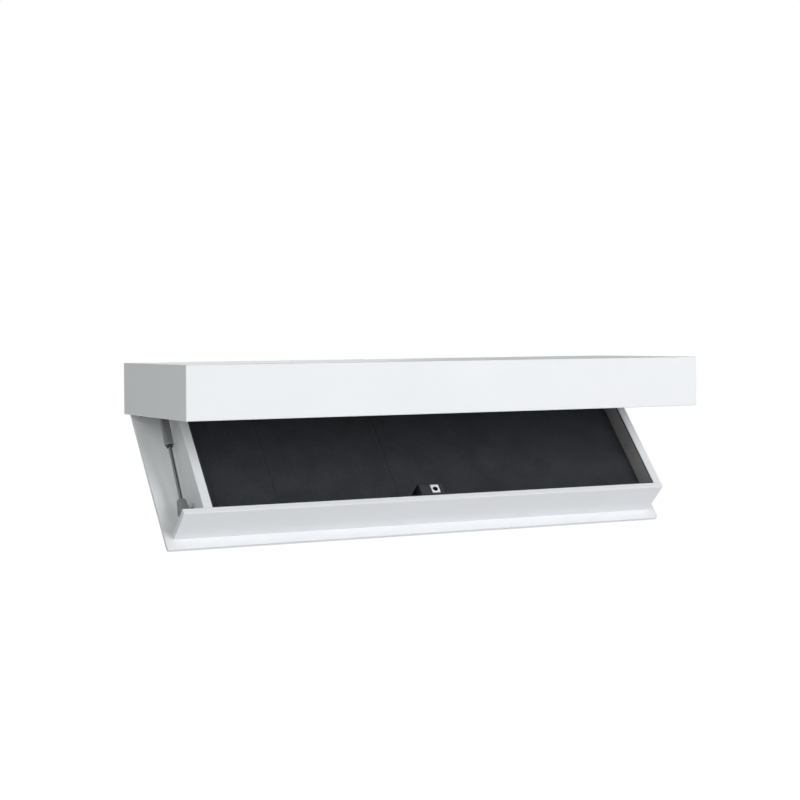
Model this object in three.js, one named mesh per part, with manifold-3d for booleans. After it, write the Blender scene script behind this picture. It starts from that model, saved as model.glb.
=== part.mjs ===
// A floating wall shelf whose underside is a drop-down tray for hidden storage.
// Units are millimetres. +X runs to the right along the wall, -Y points into the room and +Z is up.
// The shelf is drawn with its tray swung open. The origin is on the back panel, where it meets the wall.
import * as THREE from 'three';
import { ConvexGeometry } from 'three/addons/geometries/ConvexGeometry.js';
import { RoundedBoxGeometry } from 'three/addons/geometries/RoundedBoxGeometry.js';
import { mergeVertices } from 'three/addons/utils/BufferGeometryUtils.js';
import Module from 'manifold-3d';

// The box that hangs on the wall
const SHELF_WIDTH = 930;
const SHELF_DEPTH = 312;
const SHELF_HEIGHT = 85;
const PANEL = 12;
const TOP_PANEL = 10;
const EDGE_EASE = 1.5;
const REBATE_LIP = 5;
const MOUNT_HEIGHT = 45;
const GAP = 0.3;

// Screw holes through the back panel
const WALL_HOLE_RADIUS = 3;
const WALL_HOLE_SINK_RADIUS = 6;
const WALL_HOLE_SINK_DEPTH = 4;
const WALL_HOLE_END_INSET = 53;
const WALL_HOLE_COUNT = 4;

// The tray
const OPEN_ANGLE = THREE.MathUtils.degToRad(48);
const BASE_PANEL = 6.5;
const BASE_CORNER = 4;
const TRAY_SIDE_GAP = 2;
const TRAY_FRONT_GAP = 3;
const TRAY_TOP_GAP = 2;
const TRAY_LIP = 18.5;
const FRONT_WALL = 10;
const SIDE_WALL = 15;
const REAR_WALL = 10;
const REAR_WALL_SETBACK = 20;
const WALL_INSET = 14;
const CHANNEL_WIDTH = 48.5;
const WALL_EASE = 1;

// The soft lining of the tray
const LINING = 2.5;
const LINING_DROP = 1;
const FOAM = 34.5;
const FOAM_FIT = 0.5;
const FOAM_SEAMS = [0.152, 0.4146];
const LOCK_CUTOUT_FIT = 1;
const FINGER_NOTCH = [17, 19];

// The piano hinge
const LEAF = 1.5;
const BARREL_RADIUS = 3.5;
const PIN_RADIUS = 1.5;
const PIN_CLEARANCE = 0.1;
const BARREL_SIDES = 16;
const HINGE_END_INSET = 8;
const KNUCKLES = 17;
const KNUCKLE_GAP = 0.4;
const BOX_LEAF_MARGIN = 1;
const TRAY_LEAF_WIDTH = 17;
const BASE_REAR_EDGE = 1;

// The gas strut in the channel at the left
const STRUT_OFFSET = 17.5;
const LOWER_BALL_INSET = 23;
const LOWER_BALL_HEIGHT = 28.2;
const UPPER_BALL_SETBACK = 46;
const UPPER_BALL_DROP = 13.5;
const TUBE_RADIUS = 7.5;
const TUBE_WALL = 1.2;
const TUBE_END_ROLL = 2;
const TUBE_END_CAP = 3;
const ROD_RADIUS = 3;
const ROD_EXPOSED = 95.9;
const ROD_HEAD_RADIUS = 4.5;
const ROD_HEAD = 2;
const GLAND_NOSE_RADIUS = 5.2;
const GLAND_NOSE = 3.5;
const GLAND_EASE = 1;
const GLAND_BODY = 8.5;
const PISTON = 6;
const RUNNING_GAP = 0.1;
const FITTING_LENGTH = 21;
const FITTING_HEAD_RADIUS = 10.5;
const FITTING_NECK_RADIUS = 7.6;
const FITTING_THICKNESS = 14;
const FITTING_EASE = 1.2;
const FITTING_SHOULDER = 3.3;
const ROD_SEAT = 8;
const BALL_RADIUS = 5;
const BALL_NECK_RADIUS = 3;
const BALL_FLANGE_RADIUS = 4.6;
const BALL_FLANGE = 3;
const BRACKET = 2;
const LOWER_BRACKET_SIZE = [24, 12];
const LOWER_BRACKET_CORNER = 3;
const LOWER_SHANK_DEPTH = 8;
const UPPER_BRACKET_LENGTH = 30;
const UPPER_BRACKET_FLANGE = 22;
const UPPER_BRACKET_BELOW = 8;
const UPPER_BRACKET_STANDOFF = 13;

// The lock in the tray and the striker that it grips
const LOCK_SIZE = [44, 41.5];
const LOCK_OFFSET = -6.6;
const LOCK_CASE_HEIGHT = 34;
const LOCK_COVER = 3;
const LOCK_CORNER = 2;
const FACEPLATE_SIZE = [15, 16];
const FACEPLATE = 1.2;
const FACEPLATE_HOLE_RADIUS = 4.7;
const COVER_HOLE_RADIUS = 5.3;
const RECEIVER_OFFSET = 5.6;
const RECEIVER_FROM_REAR = 11.5;
const WELL_SIZE = 14;
const WELL_FLOOR = 17.5;
const LATCH_SIZE = [22, 13];
const LATCH = 2.5;
const LATCH_NOSE = 8;
const LATCH_HOLE_RADIUS = 3.7;
const LATCH_TRAVEL = 3.5;
const LATCH_PLAY = 0.5;
const STRIKER_FLANGE_RADIUS = 13;
const STRIKER_FLANGE = 3;
const STRIKER_POST_RADIUS = 5;
const STRIKER_POST_STANDOFF = 2.4;
const STRIKER_PIN_RADIUS = 2.75;
const STRIKER_NECK_RADIUS = 1.9;
const STRIKER_NECK_PLAY = 0.7;
const STRIKER_HEAD = 2.5;
const STRIKER_NOSE = 3;

// Rubber stops under the top panel
const STOP_RADIUS = 5;
const STOP_REAR_REACH = 60;

// Places that follow from the sizes above
const TOP_UNDERSIDE = SHELF_HEIGHT - TOP_PANEL;
const INNER_HALF = SHELF_WIDTH / 2 - PANEL;
const REBATE_HALF = SHELF_WIDTH / 2 - REBATE_LIP;
const HINGE_SETBACK = PANEL;
const HINGE_HEIGHT = BASE_PANEL + GAP + BARREL_RADIUS;
const BACK_PANEL_FOOT = HINGE_HEIGHT + BARREL_RADIUS + GAP;
const HINGE_HALF = INNER_HALF - HINGE_END_INSET;
const KNUCKLE_PITCH = (2 * HINGE_HALF) / KNUCKLES;
const BASE_TOP = -(BARREL_RADIUS + GAP);
const BASE_HALF = REBATE_HALF - TRAY_SIDE_GAP;
const BASE_FRONT = SHELF_DEPTH - PANEL - TRAY_FRONT_GAP - HINGE_SETBACK;
const WALL_TOP = TOP_UNDERSIDE - TRAY_TOP_GAP - HINGE_HEIGHT;
const FRONT_OUTER = BASE_FRONT - TRAY_LIP;
const FRONT_INNER = FRONT_OUTER - FRONT_WALL;
const REAR_INNER = REAR_WALL_SETBACK + REAR_WALL;
const WALL_END = BASE_HALF - WALL_INSET;
const LEFT_OUTER = CHANNEL_WIDTH - BASE_HALF;
const LEFT_INNER = LEFT_OUTER + SIDE_WALL;
const RIGHT_INNER = WALL_END - SIDE_WALL;
const STRUT_X = LEFT_OUTER - STRUT_OFFSET;
const LOWER_BALL_REACH = FRONT_INNER - LOWER_BALL_INSET;
const LOWER_BALL_Z = BASE_TOP + LOWER_BALL_HEIGHT;
const LOCK_FRONT = FRONT_INNER - GAP - LINING - FOAM_FIT;
const LOCK_REAR = LOCK_FRONT - LOCK_SIZE[1];
const LOCK_X = (LEFT_INNER + RIGHT_INNER) / 2 + LOCK_OFFSET;
const RECEIVER_X = LOCK_X + RECEIVER_OFFSET;
const RECEIVER_REACH = LOCK_REAR + RECEIVER_FROM_REAR;
const LOCK_FOOT = BASE_TOP + GAP;
const LOCK_CASE_TOP = LOCK_FOOT + LOCK_CASE_HEIGHT;
const COVER_FOOT = LOCK_CASE_TOP + GAP;
const COVER_TOP = COVER_FOOT + LOCK_COVER;
const FACEPLATE_TOP = COVER_TOP + GAP + FACEPLATE;
const LATCH_TOP = LOCK_CASE_TOP - GAP;
const STOP = TRAY_TOP_GAP - 2 * GAP;

const wasm = await Module();
wasm.setup();

// Turning geometry into solids and back

function solidOf(geometry) {
  const bare = geometry.clone();
  bare.deleteAttribute('normal');
  bare.deleteAttribute('uv');
  const merged = mergeVertices(bare, 1e-4);
  return new wasm.Manifold(new wasm.Mesh({
    numProp: 3,
    vertProperties: merged.attributes.position.array,
    triVerts: new Uint32Array(merged.index.array),
  }));
}

function geometryOf(solid) {
  const { vertProperties, triVerts } = solid.getMesh();
  const geometry = new THREE.BufferGeometry();
  geometry.setAttribute('position', new THREE.BufferAttribute(vertProperties, 3));
  geometry.setIndex(new THREE.BufferAttribute(triVerts, 1));
  geometry.computeVertexNormals();
  return geometry;
}

function cut(geometry, tools) {
  return geometryOf(tools.reduce((left, tool) => left.subtract(solidOf(tool)), solidOf(geometry)));
}

function join(geometries) {
  const [first, ...rest] = geometries.map(solidOf);
  return geometryOf(rest.reduce((sum, next) => sum.add(next), first));
}

function common(geometry, other) {
  return geometryOf(solidOf(geometry).intersect(solidOf(other)));
}

// Basic forms, placed by their limits

function block([x0, x1], [y0, y1], [z0, z1]) {
  return new THREE.BoxGeometry(x1 - x0, y1 - y0, z1 - z0)
    .translate((x0 + x1) / 2, (y0 + y1) / 2, (z0 + z1) / 2);
}

function easedBlock([x0, x1], [y0, y1], [z0, z1], radius) {
  return new RoundedBoxGeometry(x1 - x0, y1 - y0, z1 - z0, 2, radius)
    .translate((x0 + x1) / 2, (y0 + y1) / 2, (z0 + z1) / 2);
}

function alongX(geometry) {
  return geometry.rotateZ(-Math.PI / 2);
}

function alongZ(geometry) {
  return geometry.rotateX(Math.PI / 2);
}

function bar(radius, length, segments = 16) {
  return new THREE.CylinderGeometry(radius, radius, length, segments);
}

// A turned piece, from [radius, height] pairs that run up its outside from the axis to the axis.
function turned(profile, segments = 20) {
  return new THREE.LatheGeometry(profile.map(([r, h]) => new THREE.Vector2(r, h)), segments);
}

function roundedRectangle(x0, x1, y0, y1, radius) {
  const shape = new THREE.Shape();
  shape.moveTo(x0 + radius, y0);
  shape.lineTo(x1 - radius, y0);
  shape.absarc(x1 - radius, y0 + radius, radius, -Math.PI / 2, 0);
  shape.lineTo(x1, y1 - radius);
  shape.absarc(x1 - radius, y1 - radius, radius, 0, Math.PI / 2);
  shape.lineTo(x0 + radius, y1);
  shape.absarc(x0 + radius, y1 - radius, radius, Math.PI / 2, Math.PI);
  shape.lineTo(x0, y0 + radius);
  shape.absarc(x0 + radius, y0 + radius, radius, Math.PI, 1.5 * Math.PI);
  return shape;
}

// An outline raised from z0 to z1, with its rims eased by the given radius.
function raised(shape, z0, z1, ease = 0) {
  return new THREE.ExtrudeGeometry(shape, {
    depth: z1 - z0 - 2 * ease,
    bevelEnabled: ease > 0,
    bevelThickness: ease,
    bevelSize: ease,
    bevelOffset: -ease,
    bevelSegments: 3,
    curveSegments: 4,
  }).translate(0, 0, z0 + ease);
}

function add(parent, name, geometry, material) {
  const mesh = new THREE.Mesh(geometry, new THREE.MeshStandardMaterial(material));
  mesh.name = name;
  parent.add(mesh);
  return mesh;
}

// Finishes
const LACQUER = { color: 0xf2f3f5, roughness: 0.45, metalness: 0 };
const RAW_BOARD = { color: 0xd9d4ca, roughness: 0.7, metalness: 0 };
const STEEL = { color: 0xb9bcc0, roughness: 0.35, metalness: 1 };
const DARK_STEEL = { color: 0x4a4c50, roughness: 0.4, metalness: 0.8 };
const GREY_ENAMEL = { color: 0x6c6f70, roughness: 0.4, metalness: 0 };
const GREY_NYLON = { color: 0x777b79, roughness: 0.55, metalness: 0 };
const BLACK_PLASTIC = { color: 0x232427, roughness: 0.55, metalness: 0 };
const BLACK_FOAM = { color: 0x26272b, roughness: 0.95, metalness: 0 };
const GREY_FOAM = { color: 0x4b4d50, roughness: 0.95, metalness: 0 };
const RUBBER = { color: 0x2a2a2c, roughness: 0.8, metalness: 0 };

// The box: five lacquered boards, mitred where they meet so that no end grain shows

function boxBlank() {
  const half = SHELF_WIDTH / 2;
  return easedBlock([-half, half], [-SHELF_DEPTH, SHELF_DEPTH], [0, SHELF_HEIGHT], EDGE_EASE);
}

// The wedge-ended board between an outer and an inner rectangle of the box.
function mitredBoard(outer, inner) {
  const corners = [...outer, ...inner].map((corner) => new THREE.Vector3(...corner));
  return common(boxBlank(), new ConvexGeometry(corners));
}

function rectangleXY([x0, x1], [y0, y1], z) {
  return [[x0, y0, z], [x1, y0, z], [x1, y1, z], [x0, y1, z]];
}

function rectangleXZ([x0, x1], y, [z0, z1]) {
  return [[x0, y, z0], [x1, y, z0], [x1, y, z1], [x0, y, z1]];
}

function rectangleYZ(x, [y0, y1], [z0, z1]) {
  return [[x, y0, z0], [x, y1, z0], [x, y1, z1], [x, y0, z1]];
}

function topPanel() {
  const half = SHELF_WIDTH / 2;
  return mitredBoard(
    rectangleXY([-half, half], [-SHELF_DEPTH, 0], SHELF_HEIGHT),
    rectangleXY([-INNER_HALF, INNER_HALF], [PANEL - SHELF_DEPTH, 0], TOP_UNDERSIDE),
  );
}

function frontPanel() {
  const outer = SHELF_WIDTH / 2 - GAP;
  const inner = INNER_HALF - GAP;
  return mitredBoard(
    rectangleXZ([-outer, outer], -SHELF_DEPTH, [0, SHELF_HEIGHT - GAP]),
    rectangleXZ([-inner, inner], PANEL - SHELF_DEPTH, [0, TOP_UNDERSIDE - GAP]),
  );
}

// A side board, with the rebate that the tray's base closes into.
function sidePanel(side) {
  const board = mitredBoard(
    rectangleYZ(side * SHELF_WIDTH / 2, [-SHELF_DEPTH, 0], [0, SHELF_HEIGHT - GAP]),
    rectangleYZ(side * INNER_HALF, [PANEL - SHELF_DEPTH, 0], [0, TOP_UNDERSIDE - GAP]),
  );
  const rebateX = [side * REBATE_HALF, side * (INNER_HALF - PANEL)].sort((a, b) => a - b);
  return cut(board, [
    block(rebateX, [PANEL - SHELF_DEPTH, PANEL], [-PANEL, BASE_PANEL + TRAY_SIDE_GAP]),
  ]);
}

function wallHoles() {
  const end = INNER_HALF - WALL_HOLE_END_INSET;
  const columns = Array.from(
    { length: WALL_HOLE_COUNT },
    (_, i) => -end + (2 * end * i) / (WALL_HOLE_COUNT - 1),
  );
  return columns.flatMap((x) => {
    const through = bar(WALL_HOLE_RADIUS, 4 * PANEL).translate(x, 0, MOUNT_HEIGHT);
    const sink = new THREE.CylinderGeometry(
      WALL_HOLE_RADIUS,
      WALL_HOLE_SINK_RADIUS,
      WALL_HOLE_SINK_DEPTH,
      16,
    ).translate(x, WALL_HOLE_SINK_DEPTH / 2 - PANEL - GAP / 10, MOUNT_HEIGHT);
    return [through, sink];
  });
}

function backPanel() {
  const half = INNER_HALF - GAP;
  const board = block([-half, half], [-PANEL, 0], [BACK_PANEL_FOOT, TOP_UNDERSIDE - GAP]);
  return cut(board, wallHoles());
}

// A rubber disc that softens the closing of the tray. It hangs over the top of a tray wall.
function closingStop(x, reach) {
  const foot = TOP_UNDERSIDE - GAP - STOP;
  return turned([
    [0, 0],
    [STOP_RADIUS - STOP / 2, 0],
    [STOP_RADIUS, STOP / 2],
    [STOP_RADIUS, STOP],
    [0, STOP],
  ], 16).rotateX(Math.PI / 2).translate(x, -HINGE_SETBACK - reach, foot);
}

// The piano hinge: two leaves whose knuckles take turns along one pin

function knuckleSpan(i) {
  const start = -HINGE_HALF + i * KNUCKLE_PITCH;
  return [start + KNUCKLE_GAP / 2, start + KNUCKLE_PITCH - KNUCKLE_GAP / 2];
}

// The leaf lies flat beside the barrel and reaches it only at its own knuckles.
// The axis is at y = 0, z = 0. side is 1 for a leaf towards +Y and lies at the barrel's top.
function hingeLeaf(ownKnuckle, side, width) {
  const near = BARREL_RADIUS + KNUCKLE_GAP;
  const flat = side * (BARREL_RADIUS - LEAF / 2);
  const z = [flat - LEAF / 2, flat + LEAF / 2];
  const across = (a, b) => [side * a, side * b].sort((p, q) => p - q);
  const ends = [-HINGE_HALF + KNUCKLE_GAP / 2, HINGE_HALF - KNUCKLE_GAP / 2];
  const pieces = [block(ends, across(near, width), z)];
  for (let i = 0; i < KNUCKLES; i += 1) {
    if (ownKnuckle(i)) {
      const [x0, x1] = knuckleSpan(i);
      pieces.push(block([x0, x1], across(0, near + 1), z));
      pieces.push(alongX(bar(BARREL_RADIUS, x1 - x0, BARREL_SIDES)).translate((x0 + x1) / 2, 0, 0));
    }
  }
  const bore = alongX(bar(PIN_RADIUS + PIN_CLEARANCE, 4 * HINGE_HALF, BARREL_SIDES));
  return cut(join(pieces), [bore]);
}

function boxHingeLeaf() {
  return hingeLeaf((i) => i % 2 === 0, 1, PANEL - BOX_LEAF_MARGIN)
    .translate(0, -HINGE_SETBACK, HINGE_HEIGHT);
}

function trayHingeLeaf() {
  return hingeLeaf((i) => i % 2 === 1, -1, TRAY_LEAF_WIDTH);
}

function hingePin() {
  return alongX(bar(PIN_RADIUS, 2 * HINGE_HALF, BARREL_SIDES))
    .translate(0, -HINGE_SETBACK, HINGE_HEIGHT);
}

// The tray. In its group the hinge axis is the X axis, the front is at -Y and the base lies below.

function trayBase() {
  const plan = roundedRectangle(-BASE_HALF, BASE_HALF, -BASE_FRONT, -BASE_REAR_EDGE, BASE_CORNER);
  return raised(plan, BASE_TOP - BASE_PANEL, BASE_TOP, WALL_EASE);
}

function trayFrontWall() {
  return easedBlock(
    [-WALL_END, WALL_END],
    [-FRONT_OUTER, -FRONT_INNER],
    [BASE_TOP + GAP, WALL_TOP],
    WALL_EASE,
  );
}

function trayRearWall() {
  return easedBlock(
    [LEFT_OUTER, WALL_END],
    [-REAR_INNER, -REAR_WALL_SETBACK],
    [BASE_TOP + GAP, WALL_TOP],
    WALL_EASE,
  );
}

function traySideWall(outer, inner) {
  return easedBlock(
    [Math.min(outer, inner), Math.max(outer, inner)],
    [-FRONT_INNER + GAP, -REAR_INNER - GAP],
    [BASE_TOP + GAP, WALL_TOP],
    WALL_EASE,
  );
}

function trayLeftWall() {
  const wall = traySideWall(LEFT_OUTER, LEFT_INNER);
  const shankHole = alongX(bar(BALL_NECK_RADIUS + GAP, 2 * LOWER_SHANK_DEPTH))
    .translate(LEFT_OUTER, -LOWER_BALL_REACH, LOWER_BALL_Z);
  return cut(wall, [shankHole]);
}

function trayRightWall() {
  return traySideWall(WALL_END, RIGHT_INNER);
}

// Linings stand on the base against the walls; the long ones fit between the short ones.

const LINING_Z = [BASE_TOP + GAP, WALL_TOP - LINING_DROP];

function sideLining(wall, direction) {
  const face = wall + direction * GAP;
  const x = [face, face + direction * LINING].sort((a, b) => a - b);
  return block(x, [-FRONT_INNER + GAP, -REAR_INNER - GAP], LINING_Z);
}

function longLining(wall, direction) {
  const face = wall + direction * GAP;
  const inset = 2 * GAP + LINING;
  const y = [face, face + direction * LINING].sort((a, b) => a - b);
  return block([LEFT_INNER + inset, RIGHT_INNER - inset], y, LINING_Z);
}

// Foam pads fill the floor between the linings. The right-hand one is cut out round the lock, with a
// finger notch at the lock's left whose rear side is slanted.

function foamPad(x0, x1) {
  const side = GAP + LINING + FOAM_FIT;
  const front = FRONT_INNER - side;
  const rear = REAR_INNER + side;
  const z = [BASE_TOP + GAP, BASE_TOP + GAP + FOAM];
  return block([x0, x1], [-front, -rear], z);
}

// The seams lie at shares of the tray's inner width.
function foamEdges() {
  const inset = GAP + LINING + FOAM_FIT;
  const seams = FOAM_SEAMS.map((share) => LEFT_INNER + share * (RIGHT_INNER - LEFT_INNER));
  return [LEFT_INNER + inset, ...seams, RIGHT_INNER - inset];
}

function leftFoam() {
  const [x0, x1] = foamEdges();
  return foamPad(x0, x1 - GAP / 2);
}

function middleFoam() {
  const [, x0, x1] = foamEdges();
  return foamPad(x0 + GAP / 2, x1 - GAP / 2);
}

function rightFoam() {
  const [, , x0, x1] = foamEdges();
  const half = LOCK_SIZE[0] / 2 + LOCK_CUTOUT_FIT;
  const rear = -LOCK_REAR + LOCK_CUTOUT_FIT;
  const [notchWidth, notchSlant] = FINGER_NOTCH;
  const plan = new THREE.Shape();
  plan.moveTo(LOCK_X + half, rear);
  plan.lineTo(LOCK_X - half, rear);
  plan.lineTo(LOCK_X - half - notchWidth, rear - notchSlant);
  plan.lineTo(LOCK_X - half - notchWidth, -FRONT_INNER);
  plan.lineTo(LOCK_X + half, -FRONT_INNER);
  return cut(foamPad(x0 + GAP / 2, x1), [raised(plan, BASE_TOP - FOAM, BASE_TOP + 2 * FOAM)]);
}

// The lock: a case with a well for the striker, a latch that slides across it and a cover

function lockPlan(inset = 0) {
  const half = LOCK_SIZE[0] / 2 - inset;
  return roundedRectangle(
    LOCK_X - half,
    LOCK_X + half,
    -LOCK_FRONT + inset,
    -LOCK_REAR - inset,
    LOCK_CORNER,
  );
}

function receiver(geometry) {
  return geometry.translate(RECEIVER_X, -RECEIVER_REACH, 0);
}

function lockCase() {
  const body = raised(lockPlan(), LOCK_FOOT, LOCK_CASE_TOP);
  const half = WELL_SIZE / 2;
  const wellZ = [LOCK_FOOT + WELL_FLOOR, 2 * LOCK_CASE_TOP];
  const well = receiver(block([-half, half], [-half, half], wellZ));
  const track = LATCH_SIZE[1] / 2 + LATCH_PLAY;
  const trackFloor = LATCH_TOP - LATCH - GAP;
  const slot = receiver(block(
    [LATCH_NOSE - LATCH_SIZE[0] - LATCH_PLAY, LATCH_NOSE + LATCH_TRAVEL + LATCH_PLAY],
    [-track, track],
    [trackFloor, 2 * LOCK_CASE_TOP],
  ));
  return cut(body, [well, slot]);
}

function lockCover() {
  const hole = receiver(alongZ(bar(COVER_HOLE_RADIUS, 4 * LOCK_CASE_TOP)));
  return cut(raised(lockPlan(), COVER_FOOT, COVER_TOP, EDGE_EASE / 2), [hole]);
}

function lockFaceplate() {
  const [width, depth] = FACEPLATE_SIZE;
  const plan = roundedRectangle(-width / 2, width / 2, -depth / 2, depth / 2, EDGE_EASE / 2);
  const plate = receiver(raised(plan, COVER_TOP + GAP, FACEPLATE_TOP));
  return cut(plate, [receiver(alongZ(bar(FACEPLATE_HOLE_RADIUS, 4 * FACEPLATE_TOP, 24)))]);
}

// The latch has a keyhole: the round part lets the striker's head through and the slot holds its neck.
function lockLatch() {
  const [length, width] = LATCH_SIZE;
  const z = [LATCH_TOP - LATCH, LATCH_TOP];
  const plate = block([LATCH_NOSE - length, LATCH_NOSE], [-width / 2, width / 2], z);
  const slotRadius = STRIKER_NECK_RADIUS + GAP;
  const round = alongZ(bar(LATCH_HOLE_RADIUS, 4 * LATCH_TOP, 20));
  const slotEnd = alongZ(bar(slotRadius, 4 * LATCH_TOP, 16)).translate(-LATCH_TRAVEL, 0, 0);
  const slot = block([-LATCH_TRAVEL, 0], [-slotRadius, slotRadius], [0, 2 * LATCH_TOP]);
  return receiver(cut(plate, [round, slotEnd, slot]));
}

// The striker hangs from the top panel and drops into the lock as the tray closes.

function striker() {
  const closedTop = HINGE_HEIGHT + FACEPLATE_TOP;
  const neckTop = HINGE_HEIGHT + LATCH_TOP + STRIKER_NECK_PLAY;
  const neckFoot = HINGE_HEIGHT + LATCH_TOP - LATCH - STRIKER_NECK_PLAY;
  const postFoot = closedTop + STRIKER_POST_STANDOFF;
  const top = TOP_UNDERSIDE - GAP;
  return turned([
    [0, neckFoot - STRIKER_HEAD - STRIKER_NOSE],
    [STRIKER_PIN_RADIUS / 2, neckFoot - STRIKER_HEAD - STRIKER_NOSE],
    [STRIKER_PIN_RADIUS, neckFoot - STRIKER_HEAD],
    [STRIKER_PIN_RADIUS, neckFoot],
    [STRIKER_NECK_RADIUS, neckFoot],
    [STRIKER_NECK_RADIUS, neckTop],
    [STRIKER_PIN_RADIUS, neckTop],
    [STRIKER_PIN_RADIUS, postFoot],
    [STRIKER_POST_RADIUS, postFoot + STRIKER_PIN_RADIUS],
    [STRIKER_POST_RADIUS, top - STRIKER_FLANGE],
    [STRIKER_FLANGE_RADIUS, top - STRIKER_FLANGE],
    [STRIKER_FLANGE_RADIUS, top],
    [0, top],
  ], 24).rotateX(Math.PI / 2).translate(RECEIVER_X, -HINGE_SETBACK - RECEIVER_REACH, 0);
}

// The gas strut. Its own frame has the lower ball at the origin and the upper ball along +Z.

function strutEnds() {
  const lower = new THREE.Vector3(STRUT_X, -LOWER_BALL_REACH, LOWER_BALL_Z)
    .applyAxisAngle(new THREE.Vector3(1, 0, 0), OPEN_ANGLE)
    .add(new THREE.Vector3(0, -HINGE_SETBACK, HINGE_HEIGHT));
  const upper = new THREE.Vector3(STRUT_X, -UPPER_BALL_SETBACK, TOP_UNDERSIDE - UPPER_BALL_DROP);
  return { lower, upper, length: lower.distanceTo(upper) };
}

const STRUT = strutEnds();
const GLAND_FACE = FITTING_LENGTH + ROD_EXPOSED;
const TUBE_START = GLAND_FACE + GLAND_NOSE;
const TUBE_END = STRUT.length - FITTING_LENGTH - GAP;
const BORE_RADIUS = TUBE_RADIUS - TUBE_WALL;
const GLAND_END = TUBE_START + TUBE_WALL + GLAND_BODY;
const PISTON_START = GLAND_END + 2 * GAP;
const ROD_HEAD_START = PISTON_START + PISTON + GAP;

function strutRod() {
  const end = ROD_HEAD_START + ROD_HEAD;
  return alongZ(turned([
    [0, FITTING_LENGTH - ROD_SEAT],
    [ROD_RADIUS, FITTING_LENGTH - ROD_SEAT],
    [ROD_RADIUS, ROD_HEAD_START],
    [ROD_HEAD_RADIUS, ROD_HEAD_START],
    [ROD_HEAD_RADIUS, end],
    [0, end],
  ], 24));
}

function ring(outer, inner, z0, z1, segments = 24) {
  return alongZ(turned([[inner, z0], [outer, z0], [outer, z1], [inner, z1], [inner, z0]], segments));
}

function strutPiston() {
  const outer = BORE_RADIUS - RUNNING_GAP;
  return ring(outer, ROD_RADIUS + RUNNING_GAP, PISTON_START, PISTON_START + PISTON);
}

function strutTube() {
  const lip = GLAND_NOSE_RADIUS + GAP;
  const inner = TUBE_END - TUBE_END_CAP;
  const roll = TUBE_END_ROLL * (1 - Math.SQRT1_2);
  return alongZ(turned([
    [lip, TUBE_START],
    [TUBE_RADIUS - TUBE_END_ROLL, TUBE_START],
    [TUBE_RADIUS - roll, TUBE_START + roll],
    [TUBE_RADIUS, TUBE_START + TUBE_END_ROLL],
    [TUBE_RADIUS, TUBE_END - TUBE_END_ROLL / 2],
    [TUBE_RADIUS - TUBE_END_ROLL / 2, TUBE_END],
    [ROD_RADIUS, TUBE_END],
    [ROD_RADIUS, TUBE_END + GAP + ROD_SEAT],
    [0, TUBE_END + GAP + ROD_SEAT],
    [0, inner],
    [BORE_RADIUS, inner],
    [BORE_RADIUS, TUBE_START + TUBE_WALL],
    [lip, TUBE_START + TUBE_WALL],
    [lip, TUBE_START],
  ], 24));
}

function strutGland() {
  const bodyStart = TUBE_START + TUBE_WALL + GAP;
  const bore = ROD_RADIUS + RUNNING_GAP;
  return alongZ(turned([
    [bore, GLAND_FACE],
    [GLAND_NOSE_RADIUS - GLAND_EASE, GLAND_FACE],
    [GLAND_NOSE_RADIUS, GLAND_FACE + GLAND_EASE],
    [GLAND_NOSE_RADIUS, bodyStart],
    [BORE_RADIUS - RUNNING_GAP, bodyStart],
    [BORE_RADIUS - RUNNING_GAP, GLAND_END],
    [bore, GLAND_END],
    [bore, GLAND_FACE],
  ], 24));
}

// A moulded ball socket: a flat-sided head that tapers to a round neck towards +Z.

function socketOutline() {
  const shoulder = FITTING_LENGTH - FITTING_SHOULDER;
  const reach = Math.hypot(FITTING_NECK_RADIUS, shoulder);
  const lean = Math.atan2(FITTING_NECK_RADIUS, shoulder) + Math.acos(FITTING_HEAD_RADIUS / reach);
  const outline = new THREE.Shape();
  outline.absarc(0, 0, FITTING_HEAD_RADIUS, Math.PI / 2 + lean, Math.PI / 2 - lean + 2 * Math.PI);
  outline.lineTo(FITTING_NECK_RADIUS, shoulder);
  outline.lineTo(FITTING_NECK_RADIUS, FITTING_LENGTH + FITTING_SHOULDER);
  outline.lineTo(-FITTING_NECK_RADIUS, FITTING_LENGTH + FITTING_SHOULDER);
  outline.lineTo(-FITTING_NECK_RADIUS, shoulder);
  return outline;
}

function socketBody() {
  const half = FITTING_THICKNESS / 2;
  const slab = new THREE.ExtrudeGeometry(socketOutline(), {
    depth: FITTING_THICKNESS - 2 * FITTING_EASE,
    bevelThickness: FITTING_EASE,
    bevelSize: FITTING_EASE,
    bevelOffset: -FITTING_EASE,
    bevelSegments: 2,
    curveSegments: 20,
  }).translate(0, 0, FITTING_EASE - half);
  slab.applyMatrix4(new THREE.Matrix4().makeBasis(
    new THREE.Vector3(0, 1, 0),
    new THREE.Vector3(0, 0, 1),
    new THREE.Vector3(1, 0, 0),
  ));
  const wide = Math.hypot(FITTING_HEAD_RADIUS, half);
  const shoulder = [0, 0.25, 0.5, 0.75, 1].map((share) => [
    FITTING_NECK_RADIUS - FITTING_SHOULDER * (1 - Math.cos(share * Math.PI / 2)),
    FITTING_LENGTH - FITTING_SHOULDER * (1 - Math.sin(share * Math.PI / 2)),
  ]);
  const bell = alongZ(turned([
    [0, -wide],
    [wide, -wide],
    [wide, 0],
    [FITTING_NECK_RADIUS + FITTING_EASE / 2, FITTING_LENGTH - FITTING_HEAD_RADIUS],
    ...shoulder,
    [0, FITTING_LENGTH],
  ], 24));
  return common(slab, bell);
}

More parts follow.
